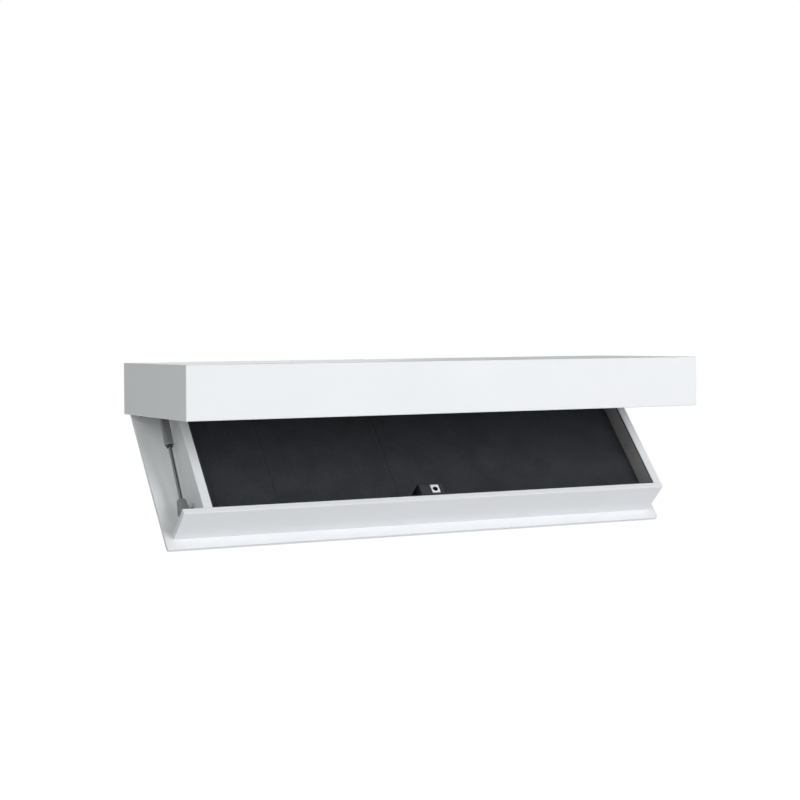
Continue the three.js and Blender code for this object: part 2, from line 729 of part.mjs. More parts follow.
function ballSocket(openSide) {
  const mouthLength = FITTING_THICKNESS;
  const pocket = new THREE.SphereGeometry(BALL_RADIUS + GAP, 16, 10);
  const mouth = alongX(bar(BALL_RADIUS - GAP, mouthLength)).translate(openSide * mouthLength / 2, 0, 0);
  const seat = alongZ(bar(ROD_RADIUS + GAP, 2 * ROD_SEAT + 2 * GAP)).translate(0, 0, FITTING_LENGTH);
  return cut(socketBody(), [pocket, mouth, seat]);
}

// A ball on a pin with a hexagonal flange. The ball is at the origin and the pin runs towards +X.
function ballStud(flangeFace, pinEnd) {
  const ball = new THREE.SphereGeometry(BALL_RADIUS, 16, 10);
  const pin = alongX(bar(BALL_NECK_RADIUS, pinEnd)).translate(pinEnd / 2, 0, 0);
  const flange = alongX(bar(BALL_FLANGE_RADIUS, BALL_FLANGE, 6))
    .translate(flangeFace - BALL_FLANGE / 2, 0, 0);
  return join([ball, pin, flange]);
}

function upperFitting() {
  return ballSocket(-1).rotateX(Math.PI).translate(0, 0, STRUT.length);
}

function upperBallStud() {
  const flangeFace = UPPER_BRACKET_STANDOFF - GAP;
  return ballStud(flangeFace, flangeFace - BALL_FLANGE / 2)
    .rotateZ(Math.PI)
    .translate(0, 0, STRUT.length);
}

// The brackets that hold the two ball studs

function lowerBallStud() {
  const flangeFace = STRUT_OFFSET - BRACKET - 2 * GAP;
  return ballStud(flangeFace, STRUT_OFFSET + LOWER_SHANK_DEPTH - 2 * GAP)
    .translate(STRUT_X, -LOWER_BALL_REACH, LOWER_BALL_Z);
}

function lowerBracket() {
  const [length, height] = LOWER_BRACKET_SIZE;
  const plan = roundedRectangle(-height / 2, height / 2, -length / 2, length / 2, LOWER_BRACKET_CORNER);
  const plate = raised(plan, 0, BRACKET).rotateY(-Math.PI / 2)
    .translate(LEFT_OUTER - GAP, -LOWER_BALL_REACH, LOWER_BALL_Z);
  const hole = alongX(bar(BALL_NECK_RADIUS + GAP, 6 * BRACKET))
    .translate(LEFT_OUTER, -LOWER_BALL_REACH, LOWER_BALL_Z);
  return cut(plate, [hole]);
}

// An angle under the top panel, with its tab beside the ball.
function upperBracket() {
  const face = STRUT_X - UPPER_BRACKET_STANDOFF;
  const top = TOP_UNDERSIDE - GAP;
  const half = UPPER_BRACKET_LENGTH / 2;
  const y = [-UPPER_BALL_SETBACK - half, -UPPER_BALL_SETBACK + half];
  const foot = TOP_UNDERSIDE - UPPER_BALL_DROP - UPPER_BRACKET_BELOW;
  const tab = block([face - BRACKET, face], y, [foot, top]);
  const flange = block([face - BRACKET, face - BRACKET + UPPER_BRACKET_FLANGE], y, [top - BRACKET, top]);
  return join([tab, flange]);
}

// Putting it together

function fillBox(box) {
  add(box, 'top_panel', topPanel(), LACQUER);
  add(box, 'front_panel', frontPanel(), LACQUER);
  add(box, 'left_side_panel', sidePanel(-1), LACQUER);
  add(box, 'right_side_panel', sidePanel(1), LACQUER);
  add(box, 'back_panel', backPanel(), RAW_BOARD);
  add(box, 'box_hinge_leaf', boxHingeLeaf(), STEEL);
  add(box, 'hinge_pin', hingePin(), STEEL);
  add(box, 'upper_strut_bracket', upperBracket(), STEEL);
  add(box, 'striker', striker(), STEEL);
}

function fillStops(box) {
  const left = LEFT_OUTER + SIDE_WALL / 2;
  const right = WALL_END - SIDE_WALL / 2;
  const front = FRONT_OUTER - FRONT_WALL / 2;
  add(box, 'stop_front_left', closingStop(left, front), RUBBER);
  add(box, 'stop_front_right', closingStop(right, front), RUBBER);
  add(box, 'stop_rear_left', closingStop(left, STOP_REAR_REACH), RUBBER);
  add(box, 'stop_rear_right', closingStop(right, STOP_REAR_REACH), RUBBER);
}

function fillTray(tray) {
  add(tray, 'tray_base', trayBase(), LACQUER);
  add(tray, 'tray_front_wall', trayFrontWall(), LACQUER);
  add(tray, 'tray_rear_wall', trayRearWall(), LACQUER);
  add(tray, 'tray_left_wall', trayLeftWall(), LACQUER);
  add(tray, 'tray_right_wall', trayRightWall(), LACQUER);
  add(tray, 'tray_hinge_leaf', trayHingeLeaf(), STEEL);
  add(tray, 'lining_left', sideLining(LEFT_INNER, 1), GREY_FOAM);
  add(tray, 'lining_right', sideLining(RIGHT_INNER, -1), GREY_FOAM);
  add(tray, 'lining_front', longLining(-FRONT_INNER, 1), GREY_FOAM);
  add(tray, 'lining_rear', longLining(-REAR_INNER, -1), GREY_FOAM);
  add(tray, 'foam_left', leftFoam(), BLACK_FOAM);
  add(tray, 'foam_middle', middleFoam(), BLACK_FOAM);
  add(tray, 'foam_right', rightFoam(), BLACK_FOAM);
  add(tray, 'lock_case', lockCase(), BLACK_PLASTIC);
  add(tray, 'lock_cover', lockCover(), BLACK_PLASTIC);
  add(tray, 'lock_faceplate', lockFaceplate(), STEEL);
  add(tray, 'lock_latch', lockLatch(), DARK_STEEL);
  add(tray, 'lower_strut_bracket', lowerBracket(), STEEL);
  add(tray, 'lower_ball_stud', lowerBallStud(), STEEL);
}

function fillStrut(strut) {
  add(strut, 'strut_rod_fitting', ballSocket(1), GREY_NYLON);
  add(strut, 'strut_rod', strutRod(), DARK_STEEL);
  add(strut, 'strut_piston', strutPiston(), BLACK_PLASTIC);
  add(strut, 'strut_gland', strutGland(), BLACK_PLASTIC);
  add(strut, 'strut_tube', strutTube(), GREY_ENAMEL);
  add(strut, 'strut_tube_fitting', upperFitting(), GREY_NYLON);
  add(strut, 'upper_ball_stud', upperBallStud(), STEEL);
}

function shelf() {
  const whole = new THREE.Group();
  const box = new THREE.Group();
  const tray = new THREE.Group();
  const strut = new THREE.Group();
  fillBox(box);
  fillStops(box);
  fillTray(tray);
  fillStrut(strut);
  tray.position.set(0, -HINGE_SETBACK, HINGE_HEIGHT);
  tray.rotation.x = OPEN_ANGLE;
  const { lower, upper } = STRUT;
  strut.position.copy(lower);
  strut.quaternion.setFromUnitVectors(
    new THREE.Vector3(0, 0, 1),
    upper.clone().sub(lower).normalize(),
  );
  whole.add(box, tray, strut);
  whole.position.z = -MOUNT_HEIGHT;
  return whole;
}

const group = shelf();
export default group;
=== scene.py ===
import math
import bmesh
import bpy
from mathutils import Matrix, Vector, noise


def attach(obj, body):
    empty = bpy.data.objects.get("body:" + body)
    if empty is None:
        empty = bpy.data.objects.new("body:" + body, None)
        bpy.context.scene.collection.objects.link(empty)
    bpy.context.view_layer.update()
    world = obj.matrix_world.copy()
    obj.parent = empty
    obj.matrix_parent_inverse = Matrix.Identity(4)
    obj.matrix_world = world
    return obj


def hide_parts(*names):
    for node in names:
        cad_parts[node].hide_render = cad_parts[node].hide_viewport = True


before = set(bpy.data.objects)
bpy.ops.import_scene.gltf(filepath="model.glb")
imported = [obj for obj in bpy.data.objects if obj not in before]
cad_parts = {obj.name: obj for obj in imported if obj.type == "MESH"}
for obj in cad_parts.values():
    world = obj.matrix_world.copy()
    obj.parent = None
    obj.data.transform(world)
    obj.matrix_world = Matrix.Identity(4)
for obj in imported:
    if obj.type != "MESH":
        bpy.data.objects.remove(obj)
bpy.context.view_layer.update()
scene = bpy.context.scene
scene.view_settings.view_transform = "Standard"

# The camera stands level with the shelf and well to its left, as a photographer would who wants
# the open tray, the strut beside it and the plain front all in one view.
CAMERA_PLACE = (-1.33125, -2.84446, 0.08066)
CAMERA_TURN = 27.418
CAMERA_RISE = 0.671
CAMERA_ROLL = -0.523
PICTURE = 800
FOCAL_PIXELS = 1764.5
CENTRE_PIXEL = (450, 314.8)

moved = Matrix.Translation


def spun(degrees, axis):
    """A turn about an axis by some degrees."""
    return Matrix.Rotation(math.radians(degrees), 4, axis)


def new_object(name, data):
    """An object of the scene that shows a mesh, a lamp or a camera."""
    made = bpy.data.objects.new(name, data)
    scene.collection.objects.link(made)
    return made


camera_data = bpy.data.cameras.new("camera")
camera_data.lens = camera_data.sensor_width * FOCAL_PIXELS / PICTURE
camera_data.shift_x = 0.5 - CENTRE_PIXEL[0] / PICTURE
camera_data.shift_y = CENTRE_PIXEL[1] / PICTURE - 0.5
camera = new_object("camera", camera_data)
camera.matrix_world = (
    moved(CAMERA_PLACE) @ spun(-CAMERA_TURN, "Z") @ spun(90 + CAMERA_RISE, "X") @ spun(CAMERA_ROLL, "Z"))
scene.camera = camera

# The light is a plain studio: two wide softboxes in front of the shelf, a weaker one behind it, an
# even grey room that fills the shade, and a pale floor well below that shows white to the camera.
# Each softbox has a bearing from the shelf's front, a height in degrees, watts and a tint.
SOFTBOXES = {
    "left softbox": (-40, 15, 45, "FBFFFB"),
    "right softbox": (20, 15, 86, "FBFBFF"),
    "rear softbox": (170, 5, 40, "FFFFFF"),
}
LAMP_AIM = (0, -0.16, 0)
LAMP_DISTANCE = 4.0
LAMP_SIZE = 2.2
ROOM_LIGHT = 0.19
FLOOR_DROP = 1.3
FLOOR_SIZE = 60
FLOOR_GLOW = 0.85


def linear(code):
    """An sRGB hex colour as the linear values that a shader reads."""
    parts = [int(code[i:i + 2], 16) / 255 for i in (0, 2, 4)]
    return [c / 12.92 if c <= 0.04045 else ((c + 0.055) / 1.055) ** 2.4 for c in parts] + [1]


def add_node(tree, kind, inputs=None, **settings):
    """Adds a node with its settings. An input is a value, or another node's socket to read."""
    made = tree.nodes.new(kind)
    for name, value in settings.items():
        setattr(made, name, value)
    for name, value in (inputs or {}).items():
        if isinstance(value, bpy.types.NodeSocket):
            tree.links.new(value, made.inputs[name])
        else:
            made.inputs[name].default_value = value
    return made


def seen_plainly(tree):
    """1 for a look from the camera, a reflection or glass, and 0 where a surface gathers light."""
    path = add_node(tree, "ShaderNodeLightPath")
    either = add_node(tree, "ShaderNodeMath", {
        0: path.outputs["Is Camera Ray"], 1: path.outputs["Is Glossy Ray"]}, operation="MAXIMUM")
    return add_node(tree, "ShaderNodeMath", {
        0: either.outputs[0], 1: path.outputs["Is Transmission Ray"]}, operation="MAXIMUM").outputs[0]


def emptied_tree(owner):
    """The node tree of a world or a material, with nothing in it."""
    owner.use_nodes = True
    owner.node_tree.nodes.clear()
    return owner.node_tree


room = bpy.data.worlds.new("studio room")
tree = emptied_tree(room)
fill = add_node(tree, "ShaderNodeBackground", {"Color": linear("FBFFFF"), "Strength": ROOM_LIGHT})
backdrop = add_node(tree, "ShaderNodeBackground", {"Color": linear("FFFFFF"), "Strength": 1.0})
room_mix = add_node(tree, "ShaderNodeMixShader", {
    0: seen_plainly(tree), 1: fill.outputs[0], 2: backdrop.outputs[0]})
add_node(tree, "ShaderNodeOutputWorld", {"Surface": room_mix.outputs[0]})
scene.world = room

for name, (bearing, height, watts, tint) in SOFTBOXES.items():
    lamp_data = bpy.data.lights.new(name, "AREA")
    lamp_data.size = LAMP_SIZE
    lamp_data.energy = watts
    lamp_data.color = linear(tint)[:3]
    lamp = new_object(name, lamp_data)
    lamp.matrix_world = (
        moved(LAMP_AIM) @ spun(bearing, "Z") @ spun(90 - height, "X") @ moved((0, 0, LAMP_DISTANCE)))
    lamp.visible_camera = False

# Matt white studio card: pale, without gloss, so that it keeps the shelf's soft shadow.
studio_card = bpy.data.materials.new("studio card")
tree = emptied_tree(studio_card)
glow_strength = add_node(tree, "ShaderNodeMath", {
    0: seen_plainly(tree), 1: FLOOR_GLOW}, operation="MULTIPLY")
glow = add_node(tree, "ShaderNodeEmission", {
    "Color": linear("FFFFFF"), "Strength": glow_strength.outputs[0]})
card = add_node(tree, "ShaderNodeBsdfDiffuse", {"Color": linear("F2F2F2")})
card_mix = add_node(tree, "ShaderNodeAddShader", {0: card.outputs[0], 1: glow.outputs[0]})
add_node(tree, "ShaderNodeOutputMaterial", {"Surface": card_mix.outputs[0]})


def as_mesh(shape, name):
    """The mesh of a shape that was built in code."""
    mesh = bpy.data.meshes.new(name)
    shape.to_mesh(mesh)
    shape.free()
    return mesh


floor_shape = bmesh.new()
bmesh.ops.create_grid(floor_shape, x_segments=1, y_segments=1, size=FLOOR_SIZE / 2)
floor_mesh = as_mesh(floor_shape, "floor")
floor_mesh.transform(moved((0, 0, -FLOOR_DROP)))
floor_mesh.materials.append(studio_card)
floor = new_object("floor", floor_mesh)


# The boards of the box and of the tray are fibreboard with sprayed white satin lacquer. They are
# glued, and the box's are mitred where they meet. Their meshes come from the frame, and each board
# gets the lacquer.
LACQUERED_BOARDS = (
    "top_panel", "front_panel", "left_side_panel", "right_side_panel",
    "tray_base", "tray_front_wall", "tray_rear_wall", "tray_left_wall", "tray_right_wall",
)
ORANGE_PEEL = 0.0022
SPRAY_CLOUD = 0.16
DUST_NIB = 0.004


def new_material(name):
    """A material without a surface yet, its node tree, and the place on the object to read."""
    material = bpy.data.materials.new(name)
    tree = emptied_tree(material)
    return material, tree, add_node(tree, "ShaderNodeTexCoord").outputs["Object"]


def finish_node(name, material):
    """Gives a node of the frame its finish."""
    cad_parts[name].data.materials.clear()
    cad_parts[name].data.materials.append(material)


# Sprayed satin lacquer: nearly even, with the faint orange peel and soft sheen of a rubbed-down
# top coat, very slightly cool, and clouded by two or three percent where the coats overlap.
satin_lacquer, tree, place = new_material("satin lacquer on fibreboard")
cloud = add_node(tree, "ShaderNodeTexNoise", {
    "Vector": place, "Scale": 1 / SPRAY_CLOUD, "Detail": 3.0, "Roughness": 0.5})
coat_colour = add_node(tree, "ShaderNodeMix", {
    0: cloud.outputs["Fac"], 6: linear("EBECEE"), 7: linear("F1F2F4")}, data_type="RGBA")
nibs = add_node(tree, "ShaderNodeTexNoise", {
    "Vector": place, "Scale": 1 / DUST_NIB, "Detail": 2.0, "Roughness": 0.6})
coat_gloss = add_node(tree, "ShaderNodeMapRange", {
    "Value": nibs.outputs["Fac"], "From Min": 0.25, "From Max": 0.75, "To Min": 0.47, "To Max": 0.57})
peel = add_node(tree, "ShaderNodeTexNoise", {
    "Vector": place, "Scale": 1 / ORANGE_PEEL, "Detail": 1.0, "Roughness": 0.4})
peel_bump = add_node(tree, "ShaderNodeBump", {
    "Height": peel.outputs["Fac"], "Strength": 0.12, "Distance": 0.0002})
coat = add_node(tree, "ShaderNodeBsdfPrincipled", {
    "Base Color": coat_colour.outputs[2], "Roughness": coat_gloss.outputs["Result"],
    "Normal": peel_bump.outputs["Normal"], "IOR": 1.5, "Specular IOR Level": 0.35})
add_node(tree, "ShaderNodeOutputMaterial", {"Surface": coat.outputs[0]})
for board in LACQUERED_BOARDS:
    finish_node(board, satin_lacquer)


# The back panel is plain primed fibreboard that stays out of sight. Four countersunk holes are
# drilled through it for the wall screws.
FIBRE = 0.0012
ROLLER_MARK = 0.03

# Primed fibreboard: matt warm white with the board's fine felted fibre in it, and the slight
# unevenness that a roller leaves.
primed_board, tree, place = new_material("primed fibreboard")
fibre = add_node(tree, "ShaderNodeTexNoise", {
    "Vector": place, "Scale": 1 / FIBRE, "Detail": 5.0, "Roughness": 0.7}).outputs["Fac"]
roller = add_node(tree, "ShaderNodeTexNoise", {
    "Vector": place, "Scale": 1 / ROLLER_MARK, "Detail": 2.0, "Roughness": 0.5})
primer_depth = add_node(tree, "ShaderNodeMath", {0: fibre, 1: roller.outputs["Fac"]}, operation="ADD")
primer_cover = add_node(tree, "ShaderNodeMapRange", {
    "Value": primer_depth.outputs[0], "From Min": 0.7, "From Max": 1.3})
primer_colour = add_node(tree, "ShaderNodeMix", {
    0: primer_cover.outputs["Result"], 6: linear("DEDBD5"), 7: linear("E8E6E1")}, data_type="RGBA")
fibre_bump = add_node(tree, "ShaderNodeBump", {"Height": fibre, "Strength": 0.35, "Distance": 0.0003})
primer = add_node(tree, "ShaderNodeBsdfPrincipled", {
    "Base Color": primer_colour.outputs[2], "Roughness": 0.8,
    "Normal": fibre_bump.outputs["Normal"], "IOR": 1.45})
add_node(tree, "ShaderNodeOutputMaterial", {"Surface": primer.outputs[0]})
finish_node("back_panel", primed_board)


# The piano hinge: two strips of rolled zinc-plated steel whose knuckles take turns round one pin.
# One strip is screwed up into the back panel's edge, and the other down to the tray's floor.
HINGE = (0, -0.012, -0.0347)
TRAY_OPEN = 48
HINGE_HALF = 0.445
KNUCKLES = 17
KNUCKLE_GAP = 0.0004
SHEET = 0.0015
BARREL = 0.0035
KNUCKLE_START = math.radians(90)
KNUCKLE_SWEEP = math.radians(300)
BOX_LEAF_REACH = 0.011
TRAY_LEAF_REACH = 0.017
knuckle_pitch = 2 * HINGE_HALF / KNUCKLES
knuckle_length = knuckle_pitch - KNUCKLE_GAP
box_place = moved(HINGE)
tray_place = box_place @ spun(TRAY_OPEN, "X")
turned_over = spun(180, "X")
stood_along_y = Matrix(((0, 0, 1, 0), (1, 0, 0, 0), (0, 1, 0, 0), (0, 0, 0, 1)))
PASSIVATION = 0.009
ZINC_GRAIN = 0.0011
RECESS_MIDDLE = -0.4
SOFT_EDGE = math.radians(40)
LEVEL_WITHIN = 1e-9

# Zinc-plated steel: bright grey metal with a faint blue and straw passivation that changes over
# some millimetres, and a finely cloudy gloss.
zinc_plate, tree, place = new_material("zinc-plated steel")
tint = add_node(tree, "ShaderNodeTexNoise", {
    "Vector": place, "Scale": 1 / PASSIVATION, "Detail": 2.0, "Roughness": 0.6})
tint_share = add_node(tree, "ShaderNodeMapRange", {
    "Value": tint.outputs["Fac"], "From Min": 0.35, "From Max": 0.68})
zinc_colour = add_node(tree, "ShaderNodeMix", {
    0: tint_share.outputs["Result"], 6: linear("B4B9C0"), 7: linear("CCC9C0")}, data_type="RGBA")
grain = add_node(tree, "ShaderNodeTexVoronoi", {"Vector": place, "Scale": 1 / ZINC_GRAIN}).outputs["Distance"]
zinc_gloss = add_node(tree, "ShaderNodeMapRange", {
    "Value": grain, "From Min": 0.0, "From Max": 0.8, "To Min": 0.26, "To Max": 0.4})
grain_bump = add_node(tree, "ShaderNodeBump", {"Height": grain, "Strength": 0.08, "Distance": 0.0001})
zinc = add_node(tree, "ShaderNodeBsdfPrincipled", {
    "Base Color": zinc_colour.outputs[2], "Metallic": 1.0,
    "Roughness": zinc_gloss.outputs["Result"], "Normal": grain_bump.outputs["Normal"]})
add_node(tree, "ShaderNodeOutputMaterial", {"Surface": zinc.outputs[0]})


def grown(group, points, sizes, material):
    """The plain mesh that a node group makes on some points, with its sizes set by name."""
    seed_mesh = bpy.data.meshes.new("points")
    seed_mesh.from_pydata(points, [], [])
    seed = new_object("points", seed_mesh)
    modifier = seed.modifiers.new("grown", "NODES")
    modifier.node_group = group
    wanted = dict(sizes, Material=material)
    for item in group.interface.items_tree:
        if item.in_out == "INPUT" and item.name in wanted:
            modifier[item.identifier] = wanted[item.name]
    seen = seed.evaluated_get(bpy.context.evaluated_depsgraph_get())
    made = bpy.data.meshes.new_from_object(seen)
    bpy.data.objects.remove(seed)
    return made


def group_with(name, sizes):
    """A node group that takes points, named sizes and a material, with its input's sockets."""
    group = bpy.data.node_groups.new(name, "GeometryNodeTree")
    group.interface.new_socket("Geometry", in_out="INPUT", socket_type="NodeSocketGeometry")
    for size in sizes:
        group.interface.new_socket(size, in_out="INPUT", socket_type="NodeSocketFloat")
    group.interface.new_socket("Material", in_out="INPUT", socket_type="NodeSocketMaterial")
    group.interface.new_socket("Geometry", in_out="OUTPUT", socket_type="NodeSocketGeometry")
    return group, add_node(group, "NodeGroupInput").outputs


def end_group(group, instances, material):
    """Ends a node group with its instances made real and given a material."""
    real = add_node(group, "GeometryNodeRealizeInstances", {"Geometry": instances.outputs[0]})
    plated = add_node(group, "GeometryNodeSetMaterial", {
        "Geometry": real.outputs[0], "Material": material})
    add_node(group, "NodeGroupOutput", {"Geometry": plated.outputs[0]})


# Rolled knuckles: an arc of sheet as long as a knuckle, set on each point round Z.
rolled_knuckles, given = group_with("rolled knuckles", (
    "Knuckle Length", "Roll Radius", "Sheet Thickness", "Start Angle", "Sweep"))
roll = add_node(rolled_knuckles, "GeometryNodeCurveArc", {
    "Resolution": 26, "Radius": given["Roll Radius"], "Start Angle": given["Start Angle"],
    "Sweep Angle": given["Sweep"]}, mode="RADIUS")
section = add_node(rolled_knuckles, "GeometryNodeCurvePrimitiveQuadrilateral", {
    "Width": given["Sheet Thickness"], "Height": given["Knuckle Length"]}, mode="RECTANGLE")
knuckle = add_node(rolled_knuckles, "GeometryNodeCurveToMesh", {
    "Curve": roll.outputs["Curve"], "Profile Curve": section.outputs["Curve"], "Fill Caps": True})
knuckles = add_node(rolled_knuckles, "GeometryNodeInstanceOnPoints", {
    "Points": given["Geometry"], "Instance": knuckle.outputs["Mesh"]})
end_group(rolled_knuckles, knuckles, given["Material"])

# Cross-recessed screws: a low cone-shaped head with a cross sunk in it, on each point, and each
# turned by chance, as a fitter leaves them. The two bars that cut the cross have their middle
# under the head's top, by RECESS_MIDDLE of the recess's depth.
cross_screws, given = group_with("cross-recessed screws", (
    "Head Radius", "Top Radius", "Head Height", "Recess Length", "Recess Width", "Recess Depth"))
head_cone = add_node(cross_screws, "GeometryNodeMeshCone", {
    "Vertices": 28, "Radius Top": given["Top Radius"], "Radius Bottom": given["Head Radius"],
    "Depth": given["Head Height"]})
recess_across = add_node(cross_screws, "ShaderNodeCombineXYZ", {
    "X": given["Recess Length"], "Y": given["Recess Width"], "Z": given["Recess Depth"]})
recess_along = add_node(cross_screws, "ShaderNodeCombineXYZ", {
    "X": given["Recess Width"], "Y": given["Recess Length"], "Z": given["Recess Depth"]})
recess_middle = add_node(cross_screws, "ShaderNodeMath", {
    0: given["Recess Depth"], 1: RECESS_MIDDLE, 2: given["Head Height"]}, operation="MULTIPLY_ADD")
recess_place = add_node(cross_screws, "ShaderNodeCombineXYZ", {"Z": recess_middle.outputs[0]})
recess = add_node(cross_screws, "GeometryNodeMeshBoolean", operation="UNION", solver="EXACT")
for size in (recess_across, recess_along):
    bar = add_node(cross_screws, "GeometryNodeMeshCube", {"Size": size.outputs[0]})
    sunk_bar = add_node(cross_screws, "GeometryNodeTransform", {
        "Geometry": bar.outputs["Mesh"], "Translation": recess_place.outputs[0]})
    cross_screws.links.new(sunk_bar.outputs[0], recess.inputs["Mesh 2"])
screw_head = add_node(cross_screws, "GeometryNodeMeshBoolean", {
    "Mesh 1": head_cone.outputs["Mesh"], "Mesh 2": recess.outputs["Mesh"]},
    operation="DIFFERENCE", solver="EXACT")
screw_turn = add_node(cross_screws, "FunctionNodeRandomValue", {
    "Min": (0.0, 0.0, 0.0), "Max": (0.0, 0.0, math.tau), "Seed": 7}, data_type="FLOAT_VECTOR")
heads = add_node(cross_screws, "GeometryNodeInstanceOnPoints", {
    "Points": given["Geometry"], "Instance": screw_head.outputs["Mesh"],
    "Rotation": screw_turn.outputs["Value"]})
end_group(cross_screws, heads, given["Material"])

SCREW_HEAD = {
    "Head Radius": 0.0029, "Top Radius": 0.0023, "Head Height": 0.0009,
    "Recess Length": 0.0032, "Recess Width": 0.0006, "Recess Depth": 0.0006,
}


def slab(outline, low, high, ease=0.0, steps=3):
    """A closed plate: an outline in X and Y raised from low to high, with its rims eased."""
    shape = bmesh.new()
    foot = shape.faces.new([shape.verts.new((x, y, low)) for x, y in outline])
    raised = bmesh.ops.extrude_face_region(shape, geom=[foot])["geom"]
    lid = [v for v in raised if isinstance(v, bmesh.types.BMVert)]
    bmesh.ops.translate(shape, verts=lid, vec=(0, 0, high - low))
    bmesh.ops.recalc_face_normals(shape, faces=shape.faces)
    if ease:
        rims = [e for e in shape.edges if abs(e.verts[0].co.z - e.verts[1].co.z) < LEVEL_WITHIN]
        bmesh.ops.bevel(shape, geom=rims, offset=ease, segments=steps, affect="EDGES",
                        profile=0.5, clamp_overlap=True)
    return as_mesh(shape, "slab")


def joined(*meshes):
    """Several closed meshes as one mesh."""
    shape = bmesh.new()
    for mesh in meshes:
        shape.from_mesh(mesh)
    return as_mesh(shape, "joined")


def finished(mesh, name, body, material, stands_for=(), place=None):
    """Makes a mesh a piece that rides on a body, has a finish and stands for some CAD nodes."""
    if place is not None:
        mesh.transform(place)
    mesh.materials.clear()
    mesh.materials.append(material)
    mesh.shade_smooth()
    mesh.set_sharp_from_angle(angle=SOFT_EDGE)
    piece = new_object(name, mesh)
    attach(piece, body)
    if stands_for:
        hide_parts(*stands_for)
    return piece


def drive_screws(name, body, points, place):
    """Screw heads on some points of a plane, as one piece that rides on a body."""
    heads = grown(cross_screws, points, SCREW_HEAD, zinc_plate)
    finished(heads, name, body, zinc_plate, place=place)


def hinge_leaf(first, reach):
    """A leaf: a flat strip level with the barrel's top, rolled round the pin at every second knuckle."""
    near = BARREL + KNUCKLE_GAP
    starts = [-HINGE_HALF + KNUCKLE_GAP / 2 + i * knuckle_pitch for i in range(KNUCKLES)]
    ends = [start + knuckle_length for start in starts]
    outline = [(ends[-1], reach), (starts[0], reach), (starts[0], near)]
    for i in range(first, KNUCKLES, 2):
        outline += [(starts[i], near), (starts[i], 0), (ends[i], 0), (ends[i], near)]
    outline.append((ends[-1], near))
    flat = slab(list(dict.fromkeys(outline)), BARREL - SHEET, BARREL)
    middles = [(0, 0, starts[i] + knuckle_length / 2) for i in range(first, KNUCKLES, 2)]
    rolls = grown(rolled_knuckles, middles, {
        "Knuckle Length": knuckle_length, "Roll Radius": BARREL - SHEET / 2,
        "Sheet Thickness": SHEET, "Start Angle": KNUCKLE_START, "Sweep": KNUCKLE_SWEEP}, zinc_plate)
    rolls.transform(stood_along_y)
    return joined(flat, rolls)


finished(hinge_leaf(0, BOX_LEAF_REACH), "hinge_strip_on_box", "box", zinc_plate,
         ["box_hinge_leaf"], box_place)
finished(hinge_leaf(1, TRAY_LEAF_REACH), "hinge_strip_on_tray", "tray", zinc_plate,
         ["tray_hinge_leaf"], tray_place @ turned_over)
finish_node("hinge_pin", zinc_plate)

screw_columns = [-HINGE_HALF + (i + 0.5) * knuckle_pitch for i in range(1, KNUCKLES, 2)]
box_row = (BARREL + KNUCKLE_GAP + BOX_LEAF_REACH) / 2
tray_row = (BARREL + KNUCKLE_GAP + TRAY_LEAF_REACH) / 2
drive_screws("hinge_screws_in_box", "box", [(x, -box_row, 0) for x in screw_columns],
             box_place @ moved((0, 0, BARREL - SHEET)) @ turned_over)
drive_screws("hinge_screws_in_tray", "tray", [(x, -tray_row, 0) for x in screw_columns],
             tray_place @ moved((0, 0, SHEET - BARREL)))


# Four soft rubber stops are stuck under the top board, one over each end of the tray's side walls.
# They are moulded as low buttons with a rounded brim.
STOP_PLACES = {
    "stop_front_left": (-0.402, -0.2735), "stop_front_right": (0.4365, -0.2735),
    "stop_rear_left": (-0.402, -0.072), "stop_rear_right": (0.4365, -0.072),
}
TOP_UNDERSIDE = 0.0297
STOP_RADIUS = 0.005
STOP_HEIGHT = 0.0014
STOP_ROUND = 0.0011
RUBBER_BLOOM = 0.003

# Moulded rubber: nearly black and quite dull, with a faint grey bloom that comes and goes.
stop_rubber, tree, place = new_material("moulded rubber")
bloom = add_node(tree, "ShaderNodeTexNoise", {
    "Vector": place, "Scale": 1 / RUBBER_BLOOM, "Detail": 3.0}).outputs["Fac"]
rubber_colour = add_node(tree, "ShaderNodeMix", {
    0: bloom, 6: linear("1F1F21"), 7: linear("353537")}, data_type="RGBA")
rubber_bump = add_node(tree, "ShaderNodeBump", {"Height": bloom, "Strength": 0.15, "Distance": 0.0002})
rubber = add_node(tree, "ShaderNodeBsdfPrincipled", {
    "Base Color": rubber_colour.outputs[2], "Roughness": 0.75, "IOR": 1.52,
    "Normal": rubber_bump.outputs["Normal"]})
add_node(tree, "ShaderNodeOutputMaterial", {"Surface": rubber.outputs[0]})


def lofted(rings):
    """A closed body through rings of points. A lone point closes an end, and a last ring that
    repeats the first makes a ring-shaped body."""
    shape = bmesh.new()
    is_ring = rings[0] == rings[-1]
    loops = [[shape.verts.new(point) for point in ring] for ring in (rings[:-1] if is_ring else rings)]
    if is_ring:
        loops.append(loops[0])
    sides = max(len(loop) for loop in loops)
    for low, high in zip(loops, loops[1:]):
        for i in range(sides):
            corners = [low[i % len(low)], low[(i + 1) % len(low)],
                       high[(i + 1) % len(high)], high[i % len(high)]]
            corners = list(dict.fromkeys(corners))
            if len(corners) > 2:
                shape.faces.new(corners)
    bmesh.ops.recalc_face_normals(shape, faces=shape.faces)
    return as_mesh(shape, "lofted")


def circle(radius, height, sides, centre=(0, 0)):
    """Points round a centre at a height, or the centre alone for a radius of 0."""
    turns = [math.tau * i / sides for i in range(sides if radius else 1)]
    return [(centre[0] + radius * math.cos(t), centre[1] + radius * math.sin(t), height) for t in turns]


def turned(profile, sides=56):
    """A body turned round Z, from the (radius, height) pairs of its profile."""
    return lofted([circle(radius, height, sides) for radius, height in profile])


